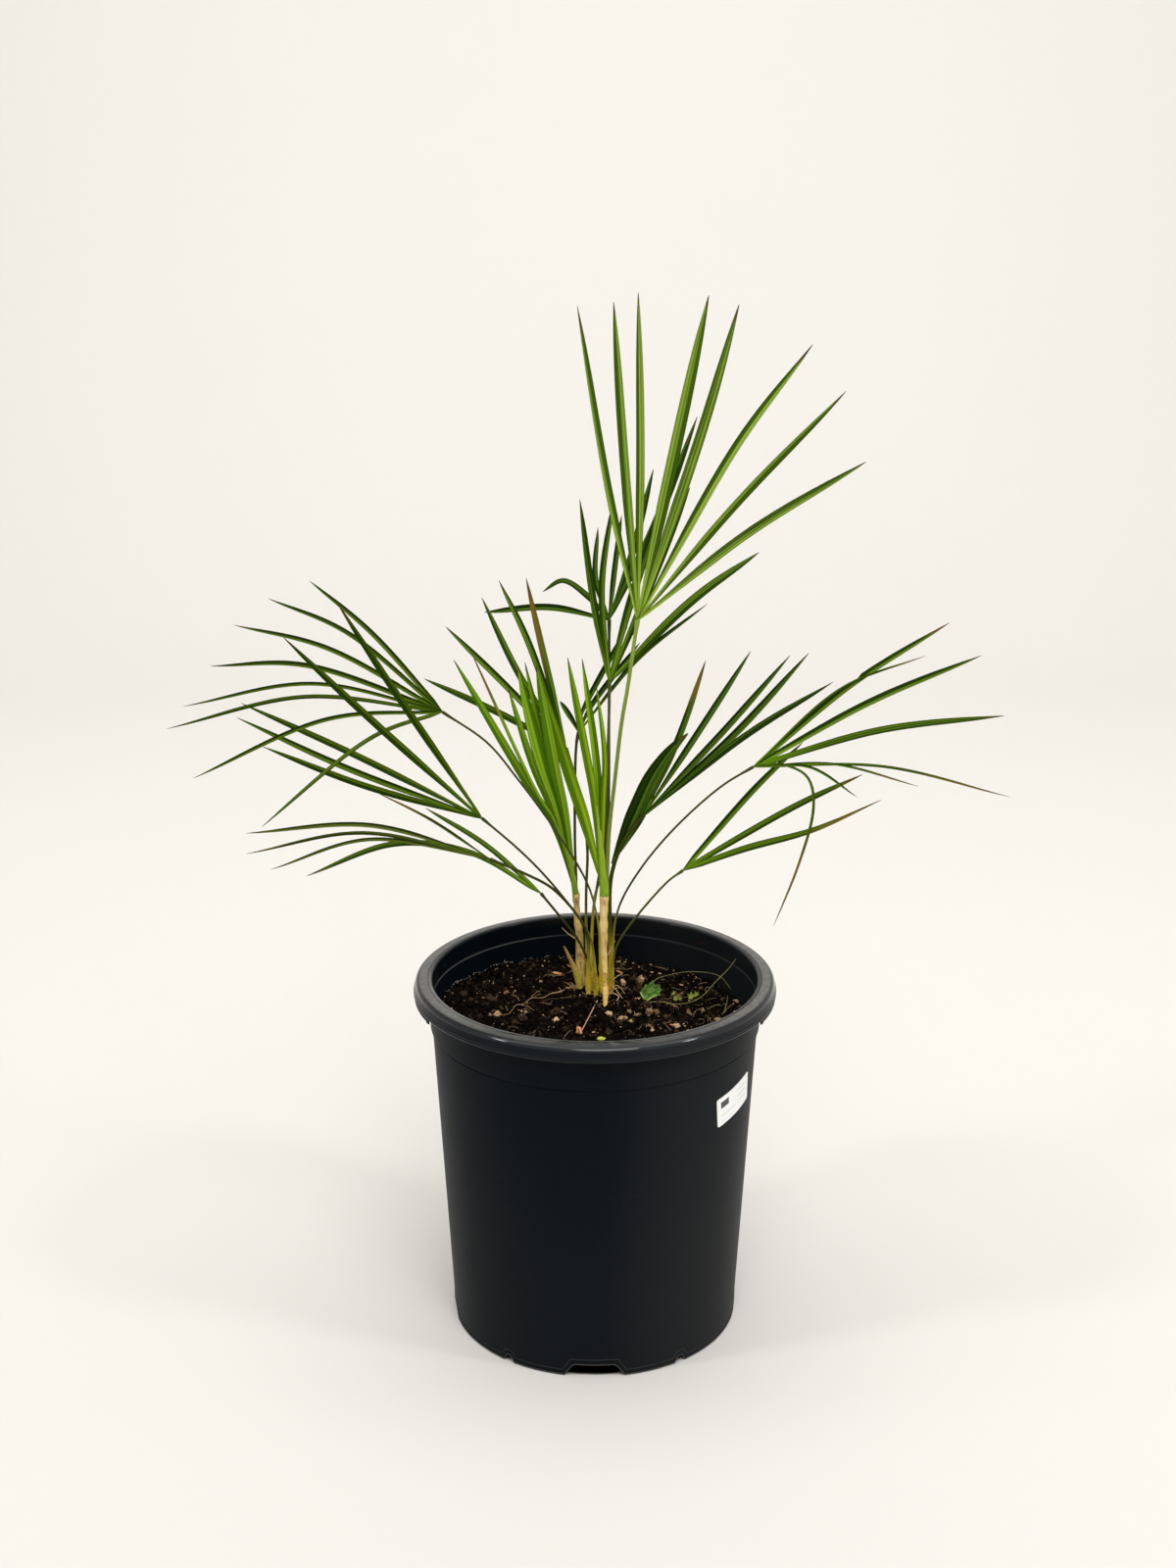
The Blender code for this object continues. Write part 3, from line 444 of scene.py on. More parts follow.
@dataclass(frozen=True)
class PlasticFinish:
    """Moulded black plastic: a matt rim whose grey is part dust and part painted reflection, a glossy lip, a
    satin wall, and painted highlights, shadow, sheen and shade.

    Each pair gives the heights, radii or distances, in millimetres, between which a mask fades.
    """

    name: str
    base: Color = (0.0020, 0.0038, 0.0062)
    # The dust's grey, which also paints the rim's reflection, the highlights and the sheen.
    dust: Color = (0.175, 0.168, 0.155)
    roughness: float = 0.40
    rim_heights: Pair = (280.5, 283.5)
    # Where the painted highlight on the rim's inner bevel fades.
    bevel_highlight_radii: Pair = (127.6, 128.4)
    less_grey_radii: Pair = (128.4, 129.7)
    # Where the painted shadow of the rim's groove lies.
    groove_radius: float = 129.1
    groove_edge: Pair = (0.3, 0.9)
    # Where the painted highlight along the inner step lies.
    step_height: float = 270.2
    step_edge: Pair = (0.3, 0.7)
    step_radii: Pair = (126.2, 127.2)
    ridge_radii: Pair = (136.8, 137.8)
    ridge_heights: Pair = (281.8, 282.8)
    # Between these heights the painted shade under the lip fades towards the foot.
    lip_shade_heights: Pair = (40.0, 240.0)
    lip_heights: Pair = (273.5, 274.2)

    def material(self) -> Material:
        """Return the pot's material."""
        graph = Graph(self.name)
        place = graph.place()
        height = graph.part(place, "Z") / MM
        normal = graph.node("ShaderNodeNewGeometry").outputs["Normal"]
        upward = graph.part(normal, "Z").step(0.88, 0.985)
        reach = graph.radius(place)
        sideways = graph.part(place, "X") / reach
        backward = graph.part(place, "Y") / reach
        radius = reach / MM
        cloud = graph.noise(11.0, 4.0)
        fine = graph.noise(900.0, 2.0)
        grain = graph.noise(260.0, 3.0)
        rim = upward * height.step(*self.rim_heights)
        # Painted highlight: a little grey along the rim's inner bevel.
        bevel_highlight = (1.0 - radius.step(*self.bevel_highlight_radii)) * rim
        # Painted shadow: a darker ring on the rim's top stands for the shade in its groove.
        groove = radius.near(self.groove_radius, *self.groove_edge) * rim
        # Painted highlight along the inner step.
        step_highlight = height.near(self.step_height, *self.step_edge) * (1.0 - radius.step(*self.step_radii))
        # Painted sheen: the wall grows lighter towards its right side.
        right = sideways.step(0.0, 0.6)
        # The rim's painted reflection is weaker at the front.
        front = 1.0 - backward.step(-0.98, -0.50)
        # Less grey on the rim's inner band at the back and at the far right.
        back_or_right_side = backward.step(-0.2, 0.3).most(sideways.step(0.55, 0.85))
        less_grey_band = (1.0 - radius.step(*self.less_grey_radii)) * back_or_right_side
        ridge = radius.step(*self.ridge_radii) * height.step(*self.ridge_heights)
        # Painted shade under the lip: the wall grows lighter towards its foot.
        low = 1.0 - height.step(*self.lip_shade_heights)
        # The rim's grey: dust with a painted reflection.
        dust_and_painted_reflection = (0.44 + grain.step(0.3, 0.7) * 0.20) * (1.0 - front * 0.62) * (1.0 - less_grey_band * 0.85)
        # The painted step highlight is stronger on the left.
        faint = 0.12 + (1.0 - sideways.step(-0.7, -0.1)) * 0.30
        # Dust together with the painted highlights, shadow, sheen and shade.
        dust_and_painted_light = rim * dust_and_painted_reflection + bevel_highlight * (1.0 - less_grey_band) * 0.12 - groove * 0.3 + step_highlight * faint
        dust_and_painted_light = (dust_and_painted_light + (right * 0.042 + low * 0.014) * (1.0 - rim)).most(0.0)
        specks = graph.noise(1500.0, 1.0).step(0.72, 0.78) * cloud.step(0.4, 0.7)
        color = graph.mix(dust_and_painted_light.least(1.0), self.base, self.dust)
        color = graph.mix(specks * 0.3, color, self.dust)
        graph.bump(fine * 0.6 + cloud * 0.2, 0.22, 0.15)
        gloss = height.step(*self.lip_heights) * (1.0 - rim)
        rough = self.roughness + cloud * 0.12 + rim * 0.2 - gloss * 0.12
        coat = (gloss * 0.30 + rim * 0.50 + ridge).least(1.0)
        graph.feed(graph.shader.inputs["Coat Weight"], coat)
        return graph.finish(color, rough, Specular_IOR_Level=0.05, Coat_Roughness=0.06)


@dataclass(frozen=True)
class SoilFinish:
    """Peat crumbs that run from near black to tan with each crumb's own tone."""

    name: str
    stops: tuple[tuple[float, Color], ...] = (
        (0.0, (0.0006, 0.0004, 0.0003)),
        (0.42, (0.0070, 0.0050, 0.0037)),
        (0.66, (0.048, 0.030, 0.018)),
        (0.82, (0.25, 0.152, 0.076)),
        (1.0, (0.66, 0.46, 0.26)))

    def material(self) -> Material:
        """Return the soil's material."""
        graph = Graph(self.name)
        tone = graph.attribute(Attribute.TONE)
        cloud = graph.noise(60.0, 4.0)
        grit = graph.noise(750.0, 4.0)
        color = graph.ramp(tone + cloud * 0.22 + grit * 0.3 - 0.26, list(self.stops))
        graph.bump(grit, 1.0, 0.9)
        return graph.finish(color, 0.90, Specular_IOR_Level=0.0)


@dataclass(frozen=True)
class PaperFinish:
    """A blank white sticker with one plain dark patch and faint ruled lines."""

    name: str
    paper: Color = (0.90, 0.90, 0.88)
    ruling: Color = (0.42, 0.42, 0.43)
    dark: Color = (0.035, 0.037, 0.042)

    def material(self) -> Material:
        """Return the sticker's material."""
        graph = Graph(self.name)
        along = graph.attribute(Attribute.ALONG)
        across = graph.attribute(Attribute.ACROSS)
        patch = along.near(0.20, 0.104, 0.110) * across.near(0.455, 0.225, 0.245)
        rule = (across * 14.0).sine().near(1.0, 0.08, 0.35)
        below = along.near(0.30, 0.20, 0.22) * across.near(-0.38, 0.38, 0.42)
        beside = along.near(0.72, 0.14, 0.16) * across.near(0.02, 0.62, 0.66)
        color = graph.mix(rule * (below + beside) * 0.42, self.paper, self.ruling)
        color = graph.mix(patch, color, self.dark)
        grain = graph.noise(1800.0, 2.0)
        graph.bump(grain, 0.12, 0.05)
        return graph.finish(color, grain * 0.1 + 0.38)


@dataclass(frozen=True)
class FloorFinish:
    """A warm off-white studio sweep."""

    name: str
    color: Color = (0.698, 0.679, 0.641)

    def material(self) -> Material:
        """Return the sweep's material."""
        graph = Graph(self.name)
        cloud = graph.noise(2.5, 3.0)
        grain = graph.noise(160.0, 3.0)
        soft = tuple(part * 0.985 for part in self.color)
        color = graph.mix(cloud * 0.7 + grain * 0.3, soft, self.color)
        return graph.finish(color, 0.85, Specular_IOR_Level=0.2)


# Mesh building


def smooth_path(points: Sequence[Vector | Point], steps: int) -> Path:
    """Run a smooth curve through given points.

    Args:
        points: The points.
        steps: Equal steps in each span.

    Returns:
        The points of the curve.
    """
    nodes = [Vector(p) for p in points]
    padded = [nodes[0] * 2 - nodes[1]] + nodes + [nodes[-1] * 2 - nodes[-2]]
    curve = []
    for before, first, second, after in zip(padded, padded[1:], padded[2:], padded[3:]):
        for step in range(steps):
            t = step / steps
            bend = (before * 2 - first * 5 + second * 4 - after) * t * t
            bend += (first * 3 - before - second * 3 + after) * t * t * t
            curve.append((first * 2 + (second - before) * t + bend) / 2)
    curve.append(nodes[-1])
    return curve


def resample(points: Path, count: int) -> Path:
    """Return points at equal spacing along a path.

    Args:
        points: The path.
        count: How many points to return.

    Returns:
        The new points.
    """
    lengths = [0.0]
    for first, second in zip(points, points[1:]):
        lengths.append(lengths[-1] + (second - first).length)
    result = []
    span = 0
    for index in range(count):
        target = lengths[-1] * index / (count - 1)
        while span < len(points) - 2 and lengths[span + 1] < target:
            span += 1
        share = (target - lengths[span]) / max(lengths[span + 1] - lengths[span], 1e-6)
        result.append(points[span].lerp(points[span + 1], min(1.0, share)))
    return result


def tangents(points: Path) -> Path:
    """Return the unit direction of a path at each of its points."""
    ahead = points[1:] + [points[-1] * 2 - points[-2]]
    behind = [points[0] * 2 - points[1]] + points[:-1]
    return [(after - before).normalized() for before, after in zip(behind, ahead)]


def ease(value: float, low: float, high: float) -> float:
    """Return a smooth step of value from 0 at low to 1 at high."""
    share = min(1.0, max(0.0, (value - low) / (high - low)))
    return share * share * (3.0 - 2.0 * share)


def thinning(path: Path, radius: float, loss: float) -> list[float]:
    """Return radii that start at one radius and shrink by a loss along a path."""
    return [radius - loss * step / len(path) for step in range(len(path))]


def polar(radius: float, angle: float, height: float = 0.0) -> Vector:
    """Return the place at a radius, at an angle from the right in radians, and at a height."""
    return Vector((radius * math.cos(angle), radius * math.sin(angle), height))


def from_front(radius: float, angle: float, height: float) -> Vector:
    """Return the place at a radius, at an angle from the front in radians, and at a height."""
    return Vector((radius * math.sin(angle), -radius * math.cos(angle), height))


def rounded(start: Vector, corner: Vector, end: Vector, steps: int) -> Path:
    """Return a curve from start to end that bends towards the corner between them."""
    shares = [step / steps for step in range(steps + 1)]
    return [start * (1 - t) ** 2 + corner * (2 * t * (1 - t)) + end * t ** 2 for t in shares]


def add_object(name: str, data: object) -> bpy.types.Object:
    """Add an object to the scene."""
    item = bpy.data.objects.new(name, data)
    bpy.context.scene.collection.objects.link(item)
    return item


@functools.cache
def ball_template(detail: int) -> tuple[Path, list[tuple[int, ...]]]:
    """Return the corners and faces of a unit ball."""
    work = bmesh.new()
    bmesh.ops.create_icosphere(work, subdivisions=detail, radius=1.0)
    work.verts.ensure_lookup_table()
    corners = [vertex.co.copy() for vertex in work.verts]
    faces = [tuple(vertex.index for vertex in face.verts) for face in work.faces]
    work.free()
    return corners, faces


class MeshMaker:
    """Collects closed skins with their attributes and turns them into one piece."""

    def __init__(self) -> None:
        """Start with nothing."""
        self.vertices: Path = []
        self.faces: list[tuple[int, ...]] = []
        self.slots: list[int] = []
        self.values: dict[Attribute, list[float]] = {attribute: [] for attribute in Attribute}

    def vertex(self, point: Vector, along: float = 0.0, across: float = 0.0, tone: float = 0.5,
               dry: float = 0.0) -> int:
        """Add a vertex with its values.

        Args:
            point: Its place in millimetres.
            along: Its share of the way along the piece.
            across: Its place across the piece, from -1 to 1.
            tone: The tone of its part.
            dry: How dry it is.

        Returns:
            The vertex's number.
        """
        self.vertices.append(Vector(point) * MM)
        for attribute, value in zip(Attribute, (along, across, tone, dry)):
            self.values[attribute].append(value)
        return len(self.vertices) - 1

    def face(self, corners: tuple[int, ...], slot: int = 0) -> None:
        """Add a face with its material slot."""
        self.faces.append(corners)
        self.slots.append(slot)

    def band(self, near: list[int], far: list[int], slot: int = 0) -> None:
        """Join two rings that have the same number of points.

        Args:
            near: The numbers of the first ring's points.
            far: The numbers of the second ring's points.
            slot: The material slot.
        """
        for side in range(len(near)):
            following = (side + 1) % len(near)
            self.face((near[side], near[following], far[following], far[side]), slot)

    def skin(self, rings: list[list[int]], slot: int = 0) -> None:
        """Skin rings that have the same number of points, and close both ends.

        Args:
            rings: The numbers of each ring's points.
            slot: The material slot.
        """
        for near, far in zip(rings, rings[1:]):
            self.band(near, far, slot)
        self.face(tuple(reversed(rings[0])), slot)
        self.face(tuple(rings[-1]), slot)

    def rod(self, path: Path, radii: list[float], sides: int = 10, slot: int = 0, tone: float = 0.5,
            flatten: float = 1.0) -> None:
        """Add a round or flattened rod.

        Args:
            path: Its centre line.
            radii: Its radius at each point.
            sides: How many sides it has.
            slot: The material slot.
            tone: The tone of the rod.
            flatten: The share of its radius that it keeps towards the front.
        """
        directions = tangents(path)
        side = directions[0].cross(Vector((0, -1, 0.05))).normalized()
        rings = []
        for index, (point, direction, radius) in enumerate(zip(path, directions, radii)):
            side = (side - direction * side.dot(direction)).normalized()
            up = direction.cross(side)
            share = index / (len(path) - 1)
            ring = []
            for corner in range(sides):
                angle = math.tau * corner / sides
                offset = side * math.cos(angle) + up * (math.sin(angle) * flatten)
                across = 2.0 * corner / sides - 1.0
                ring.append(self.vertex(point + offset * radius, share, across, tone))
            rings.append(ring)
        self.skin(rings, slot)

    def lump(self, centre: Vector, size: Point, turn: Matrix, tone: float, detail: int, rough: float,
             slot: int = 0) -> None:
        """Add an uneven lump.

        Args:
            centre: Its middle.
            size: Its half sizes.
            turn: Its rotation.
            tone: Its tone.
            detail: The subdivisions of the ball that it starts from.
            rough: How uneven it is.
            slot: The material slot.
        """
        corners, faces = ball_template(detail)
        first = len(self.vertices)
        for corner in corners:
            uneven = 1.0 + rough * noise.noise(corner * 1.7 + centre * 0.37)
            offset = Vector([part * half for part, half in zip(corner, size)]) * uneven
            self.vertex(centre + turn @ offset, tone=tone)
        for face in faces:
            self.face(tuple(first + corner for corner in face), slot)

    def mesh(self, name: str) -> bpy.types.Mesh:
        """Return a mesh of the skins, with every face turned outward."""
        mesh = bpy.data.meshes.new(name)
        mesh.from_pydata(self.vertices, [], self.faces)
        work = bmesh.new()
        work.from_mesh(mesh)
        bmesh.ops.recalc_face_normals(work, faces=work.faces)
        work.to_mesh(mesh)
        work.free()
        return mesh

    def piece(self, name: str, materials: list[Material], node: str | None = None,
              crease: float | None = None) -> None:
        """Make the piece, which rides on the model's body.

        Args:
            name: Its name.
            materials: Its materials, one for each slot.
            node: The model's node that it stands for, or None.
            crease: The angle in degrees above which an edge stays sharp, or None.
        """
        mesh = self.mesh(name)
        for material in materials:
            mesh.materials.append(material)
        mesh.polygons.foreach_set("material_index", self.slots)
        for attribute, values in self.values.items():
            mesh.attributes.new(attribute.value, "FLOAT", "POINT").data.foreach_set("value", values)
        mesh.shade_smooth()
        if crease is not None:
            mesh.set_sharp_from_angle(angle=math.radians(crease))
        hand_over(add_object(name, mesh), node)


def hand_over(item: bpy.types.Object, node: str | None) -> None:
    """Make a piece ride on the model's body and stand for its node.

    Args:
        item: The piece.
        node: The model's node that it stands for, or None.
    """
    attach(item, "root")
    if node:
        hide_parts(node)
    LOG.info("%s: %d faces", item.name, len(item.data.polygons))


# Leaves


@dataclass
class Leaflet:
    """One folded leaflet: offsets from the hub to its tip, its width and how far its tip is dry.

    A free leaflet stands outside the fan, so it has no seam with its neighbours, and a broad
    one has several pleats that haven't parted yet.
    """

    points: list[Point]
    width: float
    dry: float = 0.05
    twist: float = 0.0
    free: bool = False
    pleats: int = 1
    start: Point = (0, 0, 0)
    taper: float = 3.8


@dataclass
class Sheath:
    """The green stalk of a young leaf, which widens into its pleats."""

    stations: list[tuple[Point, float]]

    def add(self, maker: MeshMaker) -> None:
        """Add the stalk as a round rod, on which its material paints the shade of the pleats' creases."""
        path = smooth_path([point for point, _ in self.stations], 8)
        widths = smooth_path([(radius, 0.0, 0.0) for _, radius in self.stations], 8)
        maker.rod(path, [max(0.25, width.x) for width in widths], sides=20, slot=1, tone=0.5)


@dataclass
class Frond:
    """A leaf of leaflets on a hub, with its petiole."""

    name: str
    finish: str
    stalk: str
    slot: str
    hub: Point
    face: Point
    route: list[Point]
    leaflets: list[Leaflet]
    slim: float = 1.1
    thick: float = 2.0
    foot: Pair | None = None
    root: float = 0.5
    waist: float = 0.4
    sections: int = 44
    columns: int = 9
    fold: float = 0.33
    thickness: float = 0.5
    widest: float = 0.40
    tip_loss: float = 0.93
    sheath: Sheath | None = None

    def paths(self) -> list[Path]:
        """Return the centre line of each leaflet."""
        hub = Vector(self.hub)
        lines = []
        for leaflet in self.leaflets:
            curve = smooth_path([hub + Vector(p) for p in [leaflet.start] + leaflet.points], 16)
            lines.append(resample(curve, self.sections))
        return lines

    def neighbours(self, index: int, lines: list[Path]) -> list[Path]:
        """Return the centre lines of the leaflets next to one in the fan."""
        if self.leaflets[index].free:
            return []
        fan = [number for number, leaflet in enumerate(self.leaflets) if not leaflet.free]
        place = fan.index(index)
        return [lines[number] for number in fan[max(0, place - 1):place] + fan[place + 1:place + 2]]

    def half_width(self, index: int, row: int, side: Vector, lines: list[Path], which: Side) -> float:
        """Return how far one half of a leaflet reaches.

        Args:
            index: The leaflet's number.
            row: The section's number.
            side: The direction across the leaflet.
            lines: The centre lines of all leaflets.
            which: The half.

        Returns:
            The half width in millimetres, up to the seam with its neighbour.
        """
        share = row / (self.sections - 1)
        leaflet = self.leaflets[index]
        own = lines[index][row]
        spacing = (lines[index][1] - lines[index][0]).length
        taper = 1.0 - self.tip_loss * max(0.0, (share - self.widest) / (1.0 - self.widest)) ** leaflet.taper
        full = leaflet.width / 2 * (self.waist + (1.0 - self.waist) * ease(share, 0.0, self.widest)) * taper
        limit = self.root + row * spacing * (0.11 if leaflet.pleats == 1 else 0.2)
        for line in self.neighbours(index, lines):
            place = row * spacing / max(0.001, (line[1] - line[0]).length)
            low = min(int(place), len(line) - 2)
            between = line[low].lerp(line[low + 1], min(1.0, place - low)) - own
            if between.dot(side) * which.value > 0:
                limit = self.root * 0.6 + between.length * 0.5
        return min(full, limit)

    def ridge(self, across: float, pleats: int) -> float:
        """Return the height of the folded section, from 0 at a keel to 1 at an edge."""
        if pleats == 1:
            return abs(across) ** 1.15 - 0.16 * math.sin(abs(across) * math.pi)
        shifted = across * pleats + pleats % 2
        return abs(shifted % 2.0 - 1.0)

    def section(self, maker: MeshMaker, index: int, row: int, side: Vector, out: Vector, lines: list[Path],
                tone: float) -> list[int]:
        """Add one folded section of a leaflet.

        Args:
            maker: Where it is added.
            index: The leaflet's number.
            row: The section's number.
            side: The direction across the leaflet.
            out: The direction in which its edges rise.
            lines: The centre lines of all leaflets.
            tone: The leaflet's tone.

        Returns:
            The numbers of its points.
        """
        leaflet = self.leaflets[index]
        share = row / (self.sections - 1)
        left, right = [self.half_width(index, row, side, lines, which) for which in (Side.LEFT, Side.RIGHT)]
        dry = ease(share, 1.0 - leaflet.dry * 1.6, 1.0) if leaflet.dry else 0.0
        skin = self.thickness * (0.35 + 0.65 * (1.0 - share) ** 0.5)
        columns = self.columns if leaflet.pleats == 1 else 6 * leaflet.pleats + 1
        front, back = [], []
        for column in range(columns):
            across = 2.0 * column / (columns - 1) - 1.0
            half = left if across < 0 else right
            rise = (self.ridge(across, leaflet.pleats) - 0.5) * (left + right) * self.fold / leaflet.pleats
            place = lines[index][row] + side * (across * half) + out * rise
            depth = out * (skin * (1.0 - 0.55 * abs(across) ** 3) / 2)
            front.append(maker.vertex(place + depth, share, across, tone, dry))
            back.append(maker.vertex(place - depth, share, across, tone, dry))
        return front + back[::-1]

    def add_leaflet(self, maker: MeshMaker, index: int, lines: list[Path], tone: float) -> None:
        """Add one leaflet's closed folded skin.

        Args:
            maker: Where it is added.
            index: The leaflet's number.
            lines: The centre lines of all leaflets.
            tone: The leaflet's tone.
        """
        face = Vector(self.face).normalized()
        twist = math.radians(self.leaflets[index].twist)
        rings = []
        for row, direction in enumerate(tangents(lines[index])):
            turn = twist * ease(row / (self.sections - 1), 0.05, 0.7)
            side = Matrix.Rotation(turn, 3, direction) @ direction.cross(face).normalized()
            out = side.cross(direction).normalized()
            rings.append(self.section(maker, index, row, side, out, lines, tone))
        maker.skin(rings)

    def stalk_path(self) -> Path:
        """Return the petiole's centre line, from the hub down into the soil."""
        points = [Vector(self.hub)] + [Vector(p) for p in self.route]
        if self.foot:
            level = soil_height(*self.foot)
            points += [Vector((*self.foot, level + rise)) for rise in (6.0, 0.0, -12.0)]
        return resample(smooth_path(points, 10), 60)

    def add_stalk(self, maker: MeshMaker) -> None:
        """Add the petiole, which thickens into a sheath at the soil, and the knob at the hub."""
        path = self.stalk_path()
        radii = []
        for index, point in enumerate(path):
            low = 1.0 - ease(point.z, SOIL_LEVEL, SOIL_LEVEL + 42.0) if self.foot else 0.0
            near = 1.0 - ease(index / (len(path) - 1), 0.0, 0.05)
            radii.append(self.slim + (self.thick - self.slim) * low + near * 0.5)
        maker.rod(path, radii, sides=12, slot=1)

    def build(self, finishes: dict[str, Material], order: int) -> None:
        """Build and dress the frond, which stands for its node.

        Args:
            finishes: Materials by name.
            order: The frond's number, which seeds its tones.
        """
        draw = random.Random(SEED + order)
        maker = MeshMaker()
        lines = self.paths()
        for index in range(len(self.leaflets)):
            self.add_leaflet(maker, index, lines, draw.random())
        self.add_stalk(maker)
        if self.sheath:
            self.sheath.add(maker)
        materials = [finishes[self.finish], finishes[self.stalk]]
        maker.piece(self.name + "_leaf", materials, self.name, LEAF_CREASE)


